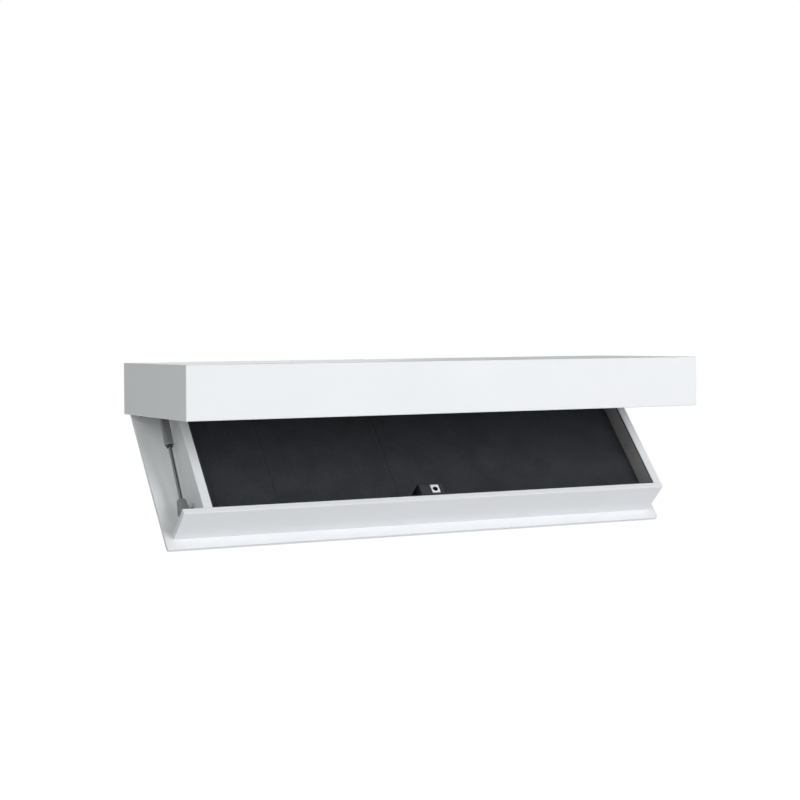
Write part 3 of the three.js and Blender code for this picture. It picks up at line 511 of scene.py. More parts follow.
def arc(centre, radius, start, end, steps=5):
    """Points of an arc of a profile, from one angle to another in degrees."""
    angles = [math.radians(start + (end - start) * i / steps) for i in range(steps + 1)]
    return [(centre[0] + radius * math.cos(a), centre[1] + radius * math.sin(a)) for a in angles]


for name, (x, y) in STOP_PLACES.items():
    brim = arc((STOP_RADIUS - STOP_ROUND, STOP_ROUND), STOP_ROUND, -90, 0)
    button = [(0, 0)] + brim + [(STOP_RADIUS, STOP_HEIGHT), (0, STOP_HEIGHT)]
    finished(turned(button, sides=40), name + "_dome", "box", stop_rubber, [name],
             moved((x, y, TOP_UNDERSIDE - STOP_HEIGHT)))


# The striker is a turned steel post with a round flange, screwed up under the top board. Its pin
# has a neck that the latch grips, and a pointed nose that finds the hole in the lock. Heights along
# it are measured from the top board's underside.
STRIKER_PLACE = (0.01625, -0.2352)
FLANGE_RADIUS = 0.013
FLANGE = 0.003
POST_RADIUS = 0.005
PIN_RADIUS = 0.00275
NECK_RADIUS = 0.0019
STRIKER_SCREW_REACH = 0.009
NOSE = -0.0429
NOSE_TIP = 0.0009
PIN_FOOT = -0.0399
NECK_FOOT = -0.0374
NECK_TOP = -0.0335
PIN_TOP = -0.0267
RIM = 0.0005
FILLET = 0.0015

striker_profile = (
    [(0, NOSE)]
    + arc((NOSE_TIP, NOSE + RIM), RIM, -90, -30, 3)
    + arc((PIN_RADIUS - RIM, PIN_FOOT), RIM, -30, 0, 2)
    + arc((PIN_RADIUS - RIM / 2, NECK_FOOT - RIM / 2), RIM / 2, 0, 90, 2)
    + [(NECK_RADIUS, NECK_FOOT), (NECK_RADIUS, NECK_TOP)]
    + arc((PIN_RADIUS - RIM / 2, NECK_TOP + RIM / 2), RIM / 2, -90, 0, 2)
    + [(PIN_RADIUS, PIN_TOP), (POST_RADIUS - RIM / 2, PIN_TOP + POST_RADIUS - PIN_RADIUS - RIM / 2)]
    + [(POST_RADIUS, PIN_TOP + POST_RADIUS - PIN_RADIUS + RIM / 2)]
    + arc((POST_RADIUS + FILLET, -FLANGE - FILLET), FILLET, 180, 90)
    + arc((FLANGE_RADIUS - RIM, -FLANGE + RIM), RIM, -90, 0, 3)
    + arc((FLANGE_RADIUS - RIM, -RIM), RIM, 0, 90, 3)
    + [(0, 0)]
)
striker_place = moved((*STRIKER_PLACE, TOP_UNDERSIDE))
finished(turned(striker_profile), "lock_striker", "box", zinc_plate, ["striker"], striker_place)
drive_screws("striker_screws", "box", [(STRIKER_SCREW_REACH, 0, 0), (-STRIKER_SCREW_REACH, 0, 0)],
             striker_place @ moved((0, 0, -FLANGE)) @ turned_over)


# The upper bracket is a strip of plated steel bent to an angle. Its flange is screwed under the top
# board, and its tab carries the strut's upper ball stud, riveted over on the far side.
BRACKET_SHEET = 0.002
BRACKET_CORNER = (-0.442, -0.046, TOP_UNDERSIDE)
BRACKET_WIDTH = 0.03
BRACKET_FLANGE = 0.022
BRACKET_TAB = 0.0212
BRACKET_BEND = 0.0035
BRACKET_ROUND = 0.003
PUNCHED_EASE = 0.0003
RIVET_RADIUS = 0.0034
RIVET_RIM = 0.0002
RIVET_ROUND = 0.001
RIVET_HEIGHT = 0.0013
UPPER_BALL_DROP = 0.0132
BRACKET_SCREW_ALONG = 0.014
BRACKET_SCREW_ACROSS = 0.011


def round_rectangle(x_span, y_span, radius, steps=5):
    """A rectangle's outline with rounded corners."""
    corners = ((1, 1, 0), (0, 1, 90), (0, 0, 180), (1, 0, 270))
    points = []
    for i, j, start in corners:
        centre = (x_span[i] - radius * (2 * i - 1), y_span[j] - radius * (2 * j - 1))
        points += arc(centre, radius, start, start + 90, steps)
    return points


def reopened(mesh):
    """A mesh's shape, opened for more work in code."""
    shape = bmesh.new()
    shape.from_mesh(mesh)
    return shape


def sliced(shape, place, across):
    """Adds edges where a plane through a place, square to a direction, meets a shape."""
    geometry = shape.verts[:] + shape.edges[:] + shape.faces[:]
    bmesh.ops.bisect_plane(shape, geom=geometry, plane_co=place, plane_no=across)


def bent(mesh, start, radius, steps=8):
    """A flat sheet bent square towards +Z, across a line at X = start, with an outer bend radius."""
    shape = reopened(mesh)
    span = radius * math.pi / 2
    for i in range(steps + 1):
        sliced(shape, (start + span * i / steps, 0, 0), (1, 0, 0))
    for vert in shape.verts:
        past = vert.co.x - start
        if past > 0:
            turn = min(past, span) / radius
            beyond = max(past - span, 0)
            reach = radius - vert.co.z
            vert.co.x = start + reach * math.sin(turn) + beyond * math.cos(turn)
            vert.co.z = radius - reach * math.cos(turn) + beyond * math.sin(turn)
    return as_mesh(shape, "bent")


bend_start = BRACKET_FLANGE - BRACKET_BEND
blank_length = bend_start + BRACKET_BEND * math.pi / 2 + BRACKET_TAB - BRACKET_BEND
blank = slab(round_rectangle((0, blank_length), (-BRACKET_WIDTH / 2, BRACKET_WIDTH / 2), BRACKET_ROUND),
             0, BRACKET_SHEET, PUNCHED_EASE, steps=2)
angle = bent(blank, bend_start, BRACKET_BEND)
angle.transform(moved((BRACKET_CORNER[0] + BRACKET_FLANGE, *BRACKET_CORNER[1:])) @ spun(180, "Y"))
rivet_rim = arc((RIVET_RADIUS - RIVET_ROUND, RIVET_RIM), RIVET_ROUND, 0, 90)
rivet = turned([(0, 0), (RIVET_RADIUS, 0)] + rivet_rim + [(0, RIVET_HEIGHT)], sides=36)
rivet.transform(moved((*BRACKET_CORNER[:2], TOP_UNDERSIDE - UPPER_BALL_DROP)) @ spun(-90, "Y"))
finished(joined(angle, rivet), "upper_strut_angle", "box", zinc_plate, ["upper_strut_bracket"])
bracket_screws = [
    (BRACKET_SCREW_ALONG + BRACKET_CORNER[0], side * BRACKET_SCREW_ACROSS - BRACKET_CORNER[1], 0)
    for side in (-1, 1)]
drive_screws("upper_bracket_screws", "box", bracket_screws,
             moved((0, 0, TOP_UNDERSIDE - BRACKET_SHEET)) @ turned_over)


# The tray is packed with black closed-cell foam, cut by blade into three pads that are laid side by
# side on the floor board. The right pad is cut out round the lock, with a slant for a finger.
PAD_FOOT = -0.0035
PAD_TOP = 0.031
PAD_FRONT, PAD_REAR = -0.2532, -0.0333
PAD_SPANS = {
    "foam_left": (-0.3912, -0.2695), "foam_middle": (-0.2692, -0.0532), "foam_right": (-0.0529, 0.4257)}
LOCK_CUT = [
    (-0.02935, PAD_FRONT), (-0.02935, -0.2297), (-0.01235, -0.2107),
    (0.03365, -0.2107), (0.03365, PAD_FRONT),
]
PAD_CELL = 0.006
PAD_ROUND = 0.0009
PAD_SWELL = 0.0007
PAD_DENT = 0.035
PORE = 0.0016
FOAM_CLOUD = 0.05

# Closed-cell polyethylene foam: black with a cool cast, dull, and pitted by cut-open cells, whose hollows are
# darkened with painted shade.
# The tone also changes at random over some centimetres. The real pores are about 0.6 mm, and are drawn more
# than twice as coarse so that they show.
black_foam, tree, place = new_material("black closed-cell foam")
pores = add_node(tree, "ShaderNodeTexVoronoi", {"Vector": place, "Scale": 1 / PORE}).outputs["Distance"]
cloud = add_node(tree, "ShaderNodeTexNoise", {"Vector": place, "Scale": 1 / FOAM_CLOUD, "Detail": 3.0})
# Painted shade: the colour is darkest in the middle of each pore, where its hollow is, and it also changes at
# random with the cloud.
pore_shade_and_cloud = add_node(tree, "ShaderNodeMath", {0: pores, 1: cloud.outputs["Fac"]}, operation="MULTIPLY")
foam_share = add_node(tree, "ShaderNodeMapRange", {
    "Value": pore_shade_and_cloud.outputs[0], "From Min": 0.02, "From Max": 0.4})
foam_colour = add_node(tree, "ShaderNodeMix", {
    0: foam_share.outputs["Result"], 6: linear("1A1B1F"), 7: linear("303238")}, data_type="RGBA")
pore_bump = add_node(tree, "ShaderNodeBump", {"Height": pores, "Strength": 0.5, "Distance": 0.0005})
foam_skin = add_node(tree, "ShaderNodeBsdfPrincipled", {
    "Base Color": foam_colour.outputs[2], "Roughness": 0.88, "IOR": 1.5,
    "Specular IOR Level": 0.3, "Sheen Weight": 0.15, "Normal": pore_bump.outputs["Normal"]})
add_node(tree, "ShaderNodeOutputMaterial", {"Surface": foam_skin.outputs[0]})


def foam_pad(outline):
    """A pad of foam with slightly rounded cut edges, whose top swells and dips by a fraction of a mm."""
    shape = reopened(slab(outline, PAD_FOOT, PAD_TOP, PAD_ROUND))
    for k, across in ((0, (1, 0, 0)), (1, (0, 1, 0))):
        low, high = min(point[k] for point in outline), max(point[k] for point in outline)
        count = round((high - low) / PAD_CELL)
        for i in range(1, count):
            sliced(shape, [low + (high - low) * i / count] * 3, across)
    for vert in shape.verts:
        height = (vert.co.z - PAD_FOOT) / (PAD_TOP - PAD_FOOT)
        if height > 0.5:
            swell = 0.5 + 0.5 * noise.noise(Vector((vert.co.x, vert.co.y, 0)) / PAD_DENT)
            vert.co.z -= PAD_SWELL * swell * height
    return as_mesh(shape, "pad")


for name, (left, right) in PAD_SPANS.items():
    front_edge = LOCK_CUT if name == "foam_right" else []
    outline = [(left, PAD_FRONT), *front_edge, (right, PAD_FRONT), (right, PAD_REAR), (left, PAD_REAR)]
    pad = finished(foam_pad(outline), name + "_pad", "tray", black_foam, [name], tray_place)


# The inside of the tray's walls is lined with thin grey foam sheet, glued on in four strips with
# their upper edge cut clean and slightly rounded.
LINING = 0.0025
LINING_FOOT, LINING_TOP = -0.0035, 0.0617
LINING_EASE = 0.0008
LINING_CORNER = 0.001
CUT_EDGE_BELOW = 0.8
SIDE_LINING_SPAN = (-0.2562, -0.0303)
END_LINING_SPAN = (-0.3914, 0.4259)
SIDE_LININGS = {"lining_left": -0.3942, "lining_right": 0.4262}
END_LININGS = {"lining_front": -0.2562, "lining_rear": -0.0328}
FELT = 0.0009

# Thin grey foam sheet: mid grey and dull, with a fine skin texture and slow changes of tone.
grey_foam, tree, place = new_material("grey foam sheet")
skin = add_node(tree, "ShaderNodeTexVoronoi", {"Vector": place, "Scale": 1 / FELT})
tone = add_node(tree, "ShaderNodeTexNoise", {"Vector": place, "Scale": 1 / FOAM_CLOUD, "Detail": 4.0})
sheet_colour = add_node(tree, "ShaderNodeMix", {
    0: tone.outputs["Fac"], 6: linear("888687"), 7: linear("A6A4A4")}, data_type="RGBA")
skin_bump = add_node(tree, "ShaderNodeBump", {
    "Height": skin.outputs["Distance"], "Strength": 0.4, "Distance": 0.0003})
sheet_skin = add_node(tree, "ShaderNodeBsdfPrincipled", {
    "Base Color": sheet_colour.outputs[2], "Roughness": 0.85, "IOR": 1.5,
    "Specular IOR Level": 0.3, "Sheen Weight": 0.1, "Normal": skin_bump.outputs["Normal"]})
add_node(tree, "ShaderNodeOutputMaterial", {"Surface": sheet_skin.outputs[0]})

stood_along_x = Matrix(((1, 0, 0, 0), (0, 0, -1, 0), (0, 1, 0, 0), (0, 0, 0, 1)))


def glue_lining(name, span, low, stood):
    """A strip of the sheet on a wall. Its cut edges are given the pads' black foam as painted shade, for the
    shade inside their open cells.
    """
    outline = round_rectangle(span, (LINING_FOOT, LINING_TOP), LINING_CORNER)
    strip = slab(outline, low, low + LINING, LINING_EASE)
    is_painted_shade_edge = [abs(face.normal.z) < CUT_EDGE_BELOW for face in strip.polygons]
    lining = finished(strip, name + "_strip", "tray", grey_foam, [name], tray_place @ stood)
    # The black foam on the cut edges is painted shade for their open cells, not a colour of the sheet.
    lining.data.materials.append(black_foam)
    lining.data.polygons.foreach_set("material_index", is_painted_shade_edge)


for name, x in SIDE_LININGS.items():
    glue_lining(name, SIDE_LINING_SPAN, x, stood_along_y)
for name, y in END_LININGS.items():
    glue_lining(name, END_LINING_SPAN, -y - LINING, stood_along_x)


# The lock is a moulded black case in the foam, with a sliding steel latch under its cover. The
# striker's hole is framed by a small stainless plate.
LOCK_X, LOCK_Y = 0.01065, -0.23245
LOCK_HALF = (0.022, 0.02075)
LOCK_CORNER = 0.002
COVER_FOOT, COVER_TOP = 0.0308, 0.0338
COVER_EASE = 0.0008
COVER_HOLE = 0.0053
HOLE_PLACE = (0.01625, -0.2232)
PLATE_HALF = (0.0075, 0.008)
PLATE_FOOT, PLATE_TOP = 0.0341, 0.0353
PLATE_HOLE = 0.0047
PLATE_EASE = 0.0003
PLATE_CORNER = 0.0008
HOLE_CHAMFER = 0.0004
LEAST_CORNER = 1e-5
HALVINGS = 40
SPARK_TEXTURE = 0.0007
BLAST_PIT = 0.00035
NITRIDE_TINT = 0.012

# Moulded ABS: charcoal, a little lighter than the foam, with the matt texture of an eroded mould.
# The texture is drawn a little coarser than it is.
moulded_abs, tree, place = new_material("moulded black ABS")
spark = add_node(tree, "ShaderNodeTexNoise", {
    "Vector": place, "Scale": 1 / SPARK_TEXTURE, "Detail": 2.0, "Roughness": 0.6}).outputs["Fac"]
abs_colour = add_node(tree, "ShaderNodeMix", {
    0: spark, 6: linear("292B2D"), 7: linear("393B3D")}, data_type="RGBA")
spark_bump = add_node(tree, "ShaderNodeBump", {"Height": spark, "Strength": 0.3, "Distance": 0.0002})
abs_skin = add_node(tree, "ShaderNodeBsdfPrincipled", {
    "Base Color": abs_colour.outputs[2], "Roughness": 0.55, "IOR": 1.52,
    "Normal": spark_bump.outputs["Normal"]})
add_node(tree, "ShaderNodeOutputMaterial", {"Surface": abs_skin.outputs[0]})

# Bead-blasted stainless steel: very pale, evenly dull metal with a fine sandy grain, so that it
# looks bright from every side. The grain is drawn coarser than it is.
blasted_steel, tree, place = new_material("bead-blasted stainless steel")
pits = add_node(tree, "ShaderNodeTexNoise", {
    "Vector": place, "Scale": 1 / BLAST_PIT, "Detail": 3.0, "Roughness": 0.7}).outputs["Fac"]
steel_colour = add_node(tree, "ShaderNodeMix", {
    0: pits, 6: linear("EBECED"), 7: linear("FAFAFB")}, data_type="RGBA")
steel_gloss = add_node(tree, "ShaderNodeMapRange", {"Value": pits, "To Min": 0.62, "To Max": 0.78})
pit_bump = add_node(tree, "ShaderNodeBump", {"Height": pits, "Strength": 0.15, "Distance": 0.0001})
steel = add_node(tree, "ShaderNodeBsdfPrincipled", {
    "Base Color": steel_colour.outputs[2], "Metallic": 1.0,
    "Roughness": steel_gloss.outputs["Result"], "Normal": pit_bump.outputs["Normal"]})
add_node(tree, "ShaderNodeOutputMaterial", {"Surface": steel.outputs[0]})

# Nitrided steel: dark grey with a faint blue cast, ground smooth, with slow changes of tone and gloss.
nitrided_steel, tree, place = new_material("dark nitrided steel")
nitride = add_node(tree, "ShaderNodeTexNoise", {
    "Vector": place, "Scale": 1 / NITRIDE_TINT, "Detail": 4.0, "Roughness": 0.6}).outputs["Fac"]
nitride_colour = add_node(tree, "ShaderNodeMix", {
    0: nitride, 6: linear("66686B"), 7: linear("7E8083")}, data_type="RGBA")
nitride_gloss = add_node(tree, "ShaderNodeMapRange", {"Value": nitride, "To Min": 0.18, "To Max": 0.28})
nitrided = add_node(tree, "ShaderNodeBsdfPrincipled", {
    "Base Color": nitride_colour.outputs[2], "Metallic": 1.0,
    "Roughness": nitride_gloss.outputs["Result"]})
add_node(tree, "ShaderNodeOutputMaterial", {"Surface": nitrided.outputs[0]})


def rectangle_ring(half, corner, hole, turns, height):
    """A ring of points on a rounded rectangle, each straight out from the hole's middle."""
    ring = []
    for t in turns:
        way = Vector((math.cos(t), math.sin(t)))
        low, high = 0.0, 2 * max(half)
        for _ in range(HALVINGS):
            middle = (low + high) / 2
            over = [max(abs(hole[k] + middle * way[k]) - half[k] + corner, 0) for k in (0, 1)]
            if math.hypot(*over) < corner:
                low = middle
            else:
                high = middle
        ring.append((hole[0] + low * way[0], hole[1] + low * way[1], height))
    return ring


def holed_plate(half, corner, foot, top, ease, hole, hole_radius, chamfer, sides=160):
    """A rounded rectangular plate with eased rims and a round hole with a chamfered mouth."""
    turns = [math.tau * i / sides for i in range(sides)]
    mouth = ((hole_radius, foot), (hole_radius, top - chamfer), (hole_radius + chamfer, top))
    rings = [circle(radius, height, sides, hole) for radius, height in mouth]
    for inset, height in [(ease - x, z) for x, z in arc((0, top - ease), ease, 90, 0, 4)]:
        rim = [h - inset for h in half]
        rings.append(rectangle_ring(rim, max(corner - inset, LEAST_CORNER), hole, turns, height))
    rings.append(rectangle_ring(half, corner, hole, turns, foot))
    return lofted(rings + [rings[0]])


cover_hole = (HOLE_PLACE[0] - LOCK_X, HOLE_PLACE[1] - LOCK_Y)
finished(holed_plate(LOCK_HALF, LOCK_CORNER, COVER_FOOT, COVER_TOP, COVER_EASE, cover_hole,
                     COVER_HOLE, HOLE_CHAMFER),
         "lock_lid", "tray", moulded_abs, ["lock_cover"],
         tray_place @ moved((LOCK_X, LOCK_Y, 0)))
finished(holed_plate(PLATE_HALF, PLATE_CORNER, PLATE_FOOT, PLATE_TOP, PLATE_EASE, (0, 0), PLATE_HOLE,
                     HOLE_CHAMFER),
         "lock_escutcheon", "tray", blasted_steel, ["lock_faceplate"],
         tray_place @ moved((*HOLE_PLACE, 0)))
finish_node("lock_case", moulded_abs)
finish_node("lock_latch", nitrided_steel)


# The gas strut lies in the channel at the tray's left. It is a drawn steel tube in grey enamel,
# with a dark nitrided rod, a black guide where the rod enters, and a moulded socket at each end.
LOWER_BALL = Vector((-0.427, -0.186375, -0.191898))
UPPER_BALL = Vector((-0.427, -0.046, 0.0165))
TUBE_RADIUS = 0.0075
TUBE_BORE = 0.0063
TUBE_LIP = 0.0055
TUBE_START = 0.1204
TUBE_WALL = 0.0012
TUBE_CAP = 0.003
TUBE_ROLL = 0.002
TUBE_SHOULDER = 0.003
ROD_RADIUS = 0.003
ROD_EASE = 0.0003
ROD_PLAY = 0.0001
ROD_FOOT = 0.013
ROD_HEAD_START, ROD_TOP = 0.137, 0.139
ROD_HEAD_RADIUS = 0.0045
STUB_TOP = 0.0083
GLAND_FACE = 0.1169
GLAND_NOSE = 0.0052
GLAND_BODY = 0.0062
GLAND_BODY_START = 0.1219
GLAND_END = 0.1301
GLAND_ROUND = 0.0006
GLAND_DISH = 0.0002
WIPER_INNER = 0.0008
WIPER_MIDDLE = 0.0011
WIPER_OUTER = 0.0015
WIPER_DEPTH = 0.0007
SOCKET_LENGTH = 0.021
SOCKET_HEAD = 0.0105
SOCKET_NECK = 0.0076
SOCKET_SHOULDER = 0.0033
SOCKET_THICKNESS = 0.014
SOCKET_FLARE = 0.0006
SOCKET_EASE = 0.0014
SOCKET_GAP = 0.0003
BALL_RADIUS = 0.005
BALL_NECK = 0.003
BALL_FLANGE = 0.0046
BALL_FLANGE_THICKNESS = 0.003
BALL_FILLET = 0.0006
HEXAGON_BEVEL = 0.0005
HEXAGON_FACE = 0.96
UPPER_STUD_REACH = 0.013
CLIP_WIRE = 0.00055
CLIP_SETBACK = 20
CLIP_OUTWARDS = 0.5
POCKET_ARC = (-88, 55)
STUD_SIDES = 72
ENAMEL_SPECK = 0.0016
GLASS_FILL = 0.0009
WAX_MOTTLE = 0.003

strut_length = (UPPER_BALL - LOWER_BALL).length
strut_way = (UPPER_BALL - LOWER_BALL).normalized()
strut_side = strut_way.cross(Vector((1, 0, 0)))
strut_place = moved(LOWER_BALL) @ Matrix(
    (Vector((1, 0, 0)), strut_side, strut_way)).transposed().to_4x4()

# Baked grey enamel on a drawn tube: mid grey and glossy, with a faint speckle.
grey_enamel, tree, place = new_material("grey enamel on steel")
speck = add_node(tree, "ShaderNodeTexNoise", {
    "Vector": place, "Scale": 1 / ENAMEL_SPECK, "Detail": 3.0, "Roughness": 0.65}).outputs["Fac"]
enamel_colour = add_node(tree, "ShaderNodeMix", {
    0: speck, 6: linear("676969"), 7: linear("797B7B")}, data_type="RGBA")
enamel_gloss = add_node(tree, "ShaderNodeMapRange", {"Value": speck, "To Min": 0.16, "To Max": 0.26})
speck_bump = add_node(tree, "ShaderNodeBump", {"Height": speck, "Strength": 0.12, "Distance": 0.0002})
enamel = add_node(tree, "ShaderNodeBsdfPrincipled", {
    "Base Color": enamel_colour.outputs[2], "Roughness": enamel_gloss.outputs["Result"],
    "IOR": 1.55, "Normal": speck_bump.outputs["Normal"]})
add_node(tree, "ShaderNodeOutputMaterial", {"Surface": enamel.outputs[0]})

# Glass-filled nylon: mid grey and glossy, with the streaky mottle that the fibres give it. The
# mottle is drawn somewhat coarser than it is.
filled_nylon, tree, place = new_material("glass-filled nylon")
mottle = add_node(tree, "ShaderNodeTexNoise", {
    "Vector": place, "Scale": 1 / GLASS_FILL, "Detail": 4.0, "Roughness": 0.7,
    "Distortion": 0.6}).outputs["Fac"]
nylon_colour = add_node(tree, "ShaderNodeMix", {
    0: mottle, 6: linear("6A6D6C"), 7: linear("848786")}, data_type="RGBA")
mottle_bump = add_node(tree, "ShaderNodeBump", {"Height": mottle, "Strength": 0.2, "Distance": 0.0002})
nylon = add_node(tree, "ShaderNodeBsdfPrincipled", {
    "Base Color": nylon_colour.outputs[2], "Roughness": 0.24, "IOR": 1.53,
    "Normal": mottle_bump.outputs["Normal"]})
add_node(tree, "ShaderNodeOutputMaterial", {"Surface": nylon.outputs[0]})

# Black acetal: smooth and waxy, very slightly mottled.
black_acetal, tree, place = new_material("black acetal")
wax = add_node(tree, "ShaderNodeTexNoise", {
    "Vector": place, "Scale": 1 / WAX_MOTTLE, "Detail": 2.0}).outputs["Fac"]
acetal_colour = add_node(tree, "ShaderNodeMix", {
    0: wax, 6: linear("16171A"), 7: linear("26272B")}, data_type="RGBA")
acetal_gloss = add_node(tree, "ShaderNodeMapRange", {"Value": wax, "To Min": 0.36, "To Max": 0.5})
acetal = add_node(tree, "ShaderNodeBsdfPrincipled", {
    "Base Color": acetal_colour.outputs[2], "Roughness": acetal_gloss.outputs["Result"], "IOR": 1.48})
add_node(tree, "ShaderNodeOutputMaterial", {"Surface": acetal.outputs[0]})

tube_end = strut_length - SOCKET_LENGTH - SOCKET_GAP
tube_floor = tube_end - TUBE_CAP
tube_profile = (
    arc((TUBE_RADIUS - TUBE_ROLL, TUBE_START + TUBE_ROLL), TUBE_ROLL, -90, 0, 8)
    + arc((TUBE_RADIUS - TUBE_SHOULDER, tube_end - TUBE_SHOULDER), TUBE_SHOULDER, 0, 90, 8)
    + [(ROD_RADIUS, tube_end), (ROD_RADIUS, tube_end + STUB_TOP), (0, tube_end + STUB_TOP)]
    + [(0, tube_floor), (TUBE_BORE, tube_floor)]
    + [(TUBE_BORE, TUBE_START + TUBE_WALL), (TUBE_LIP, TUBE_START + TUBE_WALL)]
)
finished(turned(tube_profile + tube_profile[:1], sides=72), "gas_tube", "strut_tube", grey_enamel,
         ["strut_tube"], strut_place)

gland_rim = GLAND_FACE + GLAND_DISH
gland_profile = (
    [(ROD_RADIUS + ROD_PLAY, GLAND_FACE), (ROD_RADIUS + WIPER_INNER, GLAND_FACE)]
    + [(ROD_RADIUS + WIPER_MIDDLE, GLAND_FACE + WIPER_DEPTH), (ROD_RADIUS + WIPER_OUTER, gland_rim)]
    + arc((GLAND_NOSE - GLAND_ROUND, gland_rim + GLAND_ROUND), GLAND_ROUND, -90, 0, 4)
    + [(GLAND_NOSE, GLAND_BODY_START), (GLAND_BODY, GLAND_BODY_START), (GLAND_BODY, GLAND_END)]
    + [(ROD_RADIUS + ROD_PLAY, GLAND_END)]
)
finished(turned(gland_profile + gland_profile[:1]), "rod_guide", "strut_tube", black_acetal,
         ["strut_gland"], strut_place)

rod_profile = [
    (0, ROD_FOOT), (ROD_RADIUS - ROD_EASE, ROD_FOOT), (ROD_RADIUS, ROD_FOOT + ROD_EASE),
    (ROD_RADIUS, ROD_HEAD_START), (ROD_HEAD_RADIUS, ROD_HEAD_START),
    (ROD_HEAD_RADIUS, ROD_TOP), (0, ROD_TOP),
]
finished(turned(rod_profile), "gas_rod", "strut_rod", nitrided_steel, ["strut_rod"],
         strut_place)
finish_node("strut_piston", black_acetal)

SLIVER = 2e-6


def carved(mesh, *tools, operation="DIFFERENCE"):
    """A mesh with some closed shapes cut out of it, or kept only where it lies inside them."""
    holder = new_object("holder", mesh)
    cutters = []
    for tool in tools:
        cutter = new_object("cutter", tool)
        modifier = holder.modifiers.new("cut", "BOOLEAN")
        modifier.object = cutter
        modifier.operation = operation
        modifier.solver = "EXACT"
        cutters.append(cutter)
    made = bpy.data.meshes.new_from_object(
        holder.evaluated_get(bpy.context.evaluated_depsgraph_get()))
    for spare in (holder, *cutters):
        bpy.data.objects.remove(spare)
    shape = reopened(made)
    bmesh.ops.triangulate(shape, faces=shape.faces)
    bmesh.ops.dissolve_degenerate(shape, dist=SLIVER, edges=shape.edges)
    return as_mesh(shape, "carved")


def wire_arc(radius, start, end, wire, steps=48, sides=12):
    """A round wire bent to an arc round Z, with closed ends."""
    rings = [[(*arc((0, 0), radius, start, start, 1)[0], 0)]]
    for i in range(steps + 1):
        t = math.radians(start + (end - start) * i / steps)
        rings.append([(
            (radius + wire * math.cos(a)) * math.cos(t),
            (radius + wire * math.cos(a)) * math.sin(t),
            wire * math.sin(a),
        ) for a in [math.tau * k / sides for k in range(sides)]])
    rings.append([(*arc((0, 0), radius, end, end, 1)[0], 0)])
    return lofted(rings)


def ball_socket(open_side):
    """A moulded socket round the ball that tapers to a round neck along +Z, and its wire clip."""
    shoulder = SOCKET_LENGTH - SOCKET_SHOULDER
    lean = math.degrees(
        math.atan2(SOCKET_NECK, shoulder) + math.acos(SOCKET_HEAD / math.hypot(SOCKET_NECK, shoulder)))
    outline = arc((0, 0), SOCKET_HEAD, 90 + lean, 450 - lean, 40)
    outline += [(SOCKET_NECK, shoulder), (SOCKET_NECK, 2 * SOCKET_LENGTH)]
    outline += [(-SOCKET_NECK, 2 * SOCKET_LENGTH), (-SOCKET_NECK, shoulder)]
    half = SOCKET_THICKNESS / 2
    body = slab(outline, -half, half, SOCKET_EASE, steps=5)
    body.transform(stood_along_y)
    wide = math.hypot(SOCKET_HEAD, half)
    bell = turned(
        [(0, -wide), (wide, -wide), (wide, 0)]
        + [(SOCKET_NECK + SOCKET_FLARE, SOCKET_LENGTH - SOCKET_HEAD)]
        + arc((SOCKET_NECK - SOCKET_SHOULDER, shoulder), SOCKET_SHOULDER, 0, 90, 8)
        + [(0, SOCKET_LENGTH)], sides=72)
    pocket_radius = BALL_RADIUS + SOCKET_GAP
    mouth = BALL_RADIUS - SOCKET_GAP
    pocket = turned([(0, -pocket_radius)] + arc((0, 0), pocket_radius, *POCKET_ARC, 24)
                    + [(mouth, pocket_radius), (mouth, 2 * half), (0, 2 * half)], sides=48)
    pocket.transform(spun(open_side * 90, "Y"))
    seat_foot = ROD_FOOT - SOCKET_GAP
    seat = turned([(0, seat_foot), (ROD_RADIUS + SOCKET_GAP, seat_foot),
                   (ROD_RADIUS + SOCKET_GAP, 2 * SOCKET_LENGTH), (0, 2 * SOCKET_LENGTH)], sides=48)
    clip = wire_arc(SOCKET_HEAD, 90 + CLIP_SETBACK + lean, 450 - CLIP_SETBACK - lean, CLIP_WIRE)
    clip.transform(stood_along_y)
    clip.transform(moved((open_side * half * CLIP_OUTWARDS, 0, 0)))
    return carved(carved(body, bell, operation="INTERSECT"), pocket, seat), clip


def ball_stud(reach, shank):
    """A ball on a hexagonal flange with bevelled corners. Its shank runs towards +Z."""
    start = reach - SOCKET_GAP - BALL_FLANGE_THICKNESS
    flat = BALL_FLANGE * math.cos(math.pi / 6)
    ball_end = math.degrees(math.acos(BALL_NECK / BALL_RADIUS))
    profile = arc((0, 0), BALL_RADIUS, -90, ball_end, 28)[1:]
    profile += arc((BALL_NECK + BALL_FILLET, start - BALL_FILLET), BALL_FILLET, 180, 90, 4)
    rings = [[(0, 0, -BALL_RADIUS)]]
    rings += [circle(radius, height, STUD_SIDES) for radius, height in profile]
    corners = (
        (flat * HEXAGON_FACE, 0), (BALL_FLANGE, HEXAGON_BEVEL),
        (BALL_FLANGE, BALL_FLANGE_THICKNESS - HEXAGON_BEVEL), (flat * HEXAGON_FACE, BALL_FLANGE_THICKNESS),
    )
    for limit, height in corners:
        ring = []
        for t in [math.tau * i / STUD_SIDES for i in range(STUD_SIDES)]:
            r = min(limit, flat / math.cos((t + math.pi / 6) % (math.pi / 3) - math.pi / 6))
            ring.append((r * math.cos(t), r * math.sin(t), start + height))
        rings.append(ring)
    foot = start + BALL_FLANGE_THICKNESS
    if shank:
        rings += [circle(BALL_NECK, height, STUD_SIDES) for height in (foot, reach + shank)]
        foot = reach + shank
    rings.append([(0, 0, foot)])
    return lofted(rings)


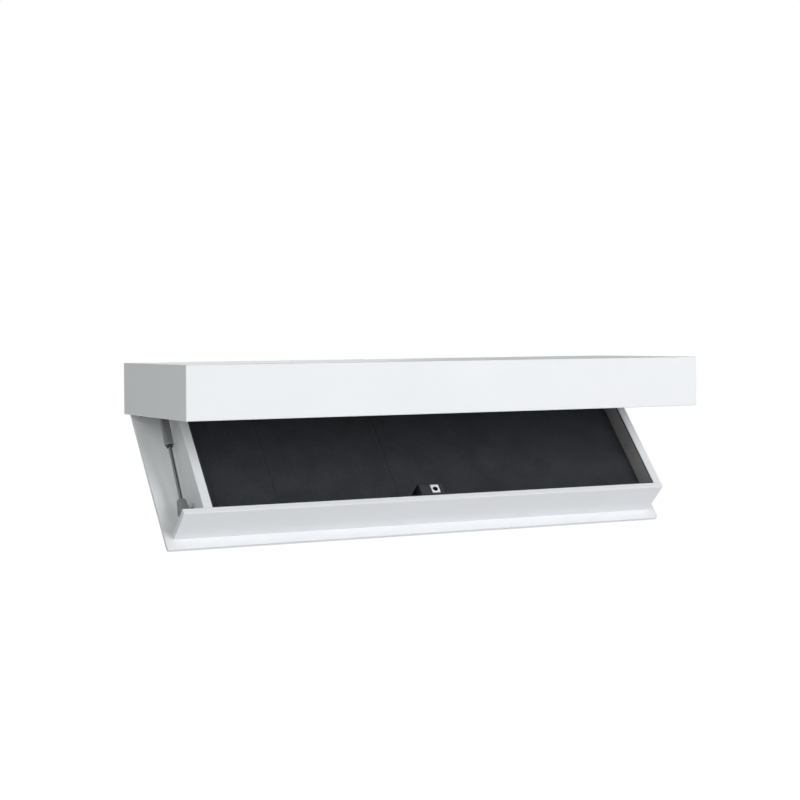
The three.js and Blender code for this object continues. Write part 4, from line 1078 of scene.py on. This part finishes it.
lower_socket, lower_clip = ball_socket(1)
finished(lower_socket, "lower_socket", "strut_rod", filled_nylon,
         ["strut_rod_fitting"], strut_place)
finished(lower_clip, "lower_socket_clip", "strut_rod", zinc_plate, place=strut_place)
upper_place = strut_place @ moved((0, 0, strut_length)) @ turned_over
upper_socket, upper_clip = ball_socket(-1)
finished(upper_socket, "upper_socket", "strut_tube", filled_nylon,
         ["strut_tube_fitting"], upper_place)
finished(upper_clip, "upper_socket_clip", "strut_tube", zinc_plate, place=upper_place)
finished(ball_stud(UPPER_STUD_REACH, 0), "upper_stud", "strut_tube", zinc_plate,
         ["upper_ball_stud"], moved(UPPER_BALL) @ spun(-90, "Y"))


# The strut's foot is held by a ball stud that is screwed through a plated steel plate into the
# tray's left wall. The plate spreads the load and has a wood screw at each end.
PLATE_SHEET = 0.002
LOWER_PLATE = (0.024, 0.012)
LOWER_PLATE_FACE = -0.4118
LOWER_STUD_REACH = 0.0152
LOWER_STUD_SHANK = 0.0097
LOWER_BALL_ON_TRAY = (-0.427, -0.2335, 0.0244)
LOWER_SCREW_REACH = 0.0084

plate = slab(round_rectangle((-LOWER_PLATE[0] / 2, LOWER_PLATE[0] / 2),
                             (-LOWER_PLATE[1] / 2, LOWER_PLATE[1] / 2), BRACKET_ROUND),
             0, PLATE_SHEET, PUNCHED_EASE, steps=2)
plate_hole = turned([(0, -PLATE_SHEET / 2), (BALL_NECK + SOCKET_GAP, -PLATE_SHEET / 2),
                     (BALL_NECK + SOCKET_GAP, 2 * PLATE_SHEET), (0, 2 * PLATE_SHEET)], sides=40)
plate_place = tray_place @ moved((LOWER_PLATE_FACE, *LOWER_BALL_ON_TRAY[1:])) @ stood_along_y
finished(carved(plate, plate_hole), "lower_strut_plate", "tray", zinc_plate,
         ["lower_strut_bracket"], plate_place)
drive_screws("lower_plate_screws", "tray", [(LOWER_SCREW_REACH, 0, 0), (-LOWER_SCREW_REACH, 0, 0)],
             plate_place @ turned_over)
towards_wall = moved(LOWER_BALL_ON_TRAY) @ spun(90, "Y")
finished(ball_stud(LOWER_STUD_REACH, LOWER_STUD_SHANK), "lower_stud", "tray", zinc_plate,
         ["lower_ball_stud"], tray_place @ towards_wall)
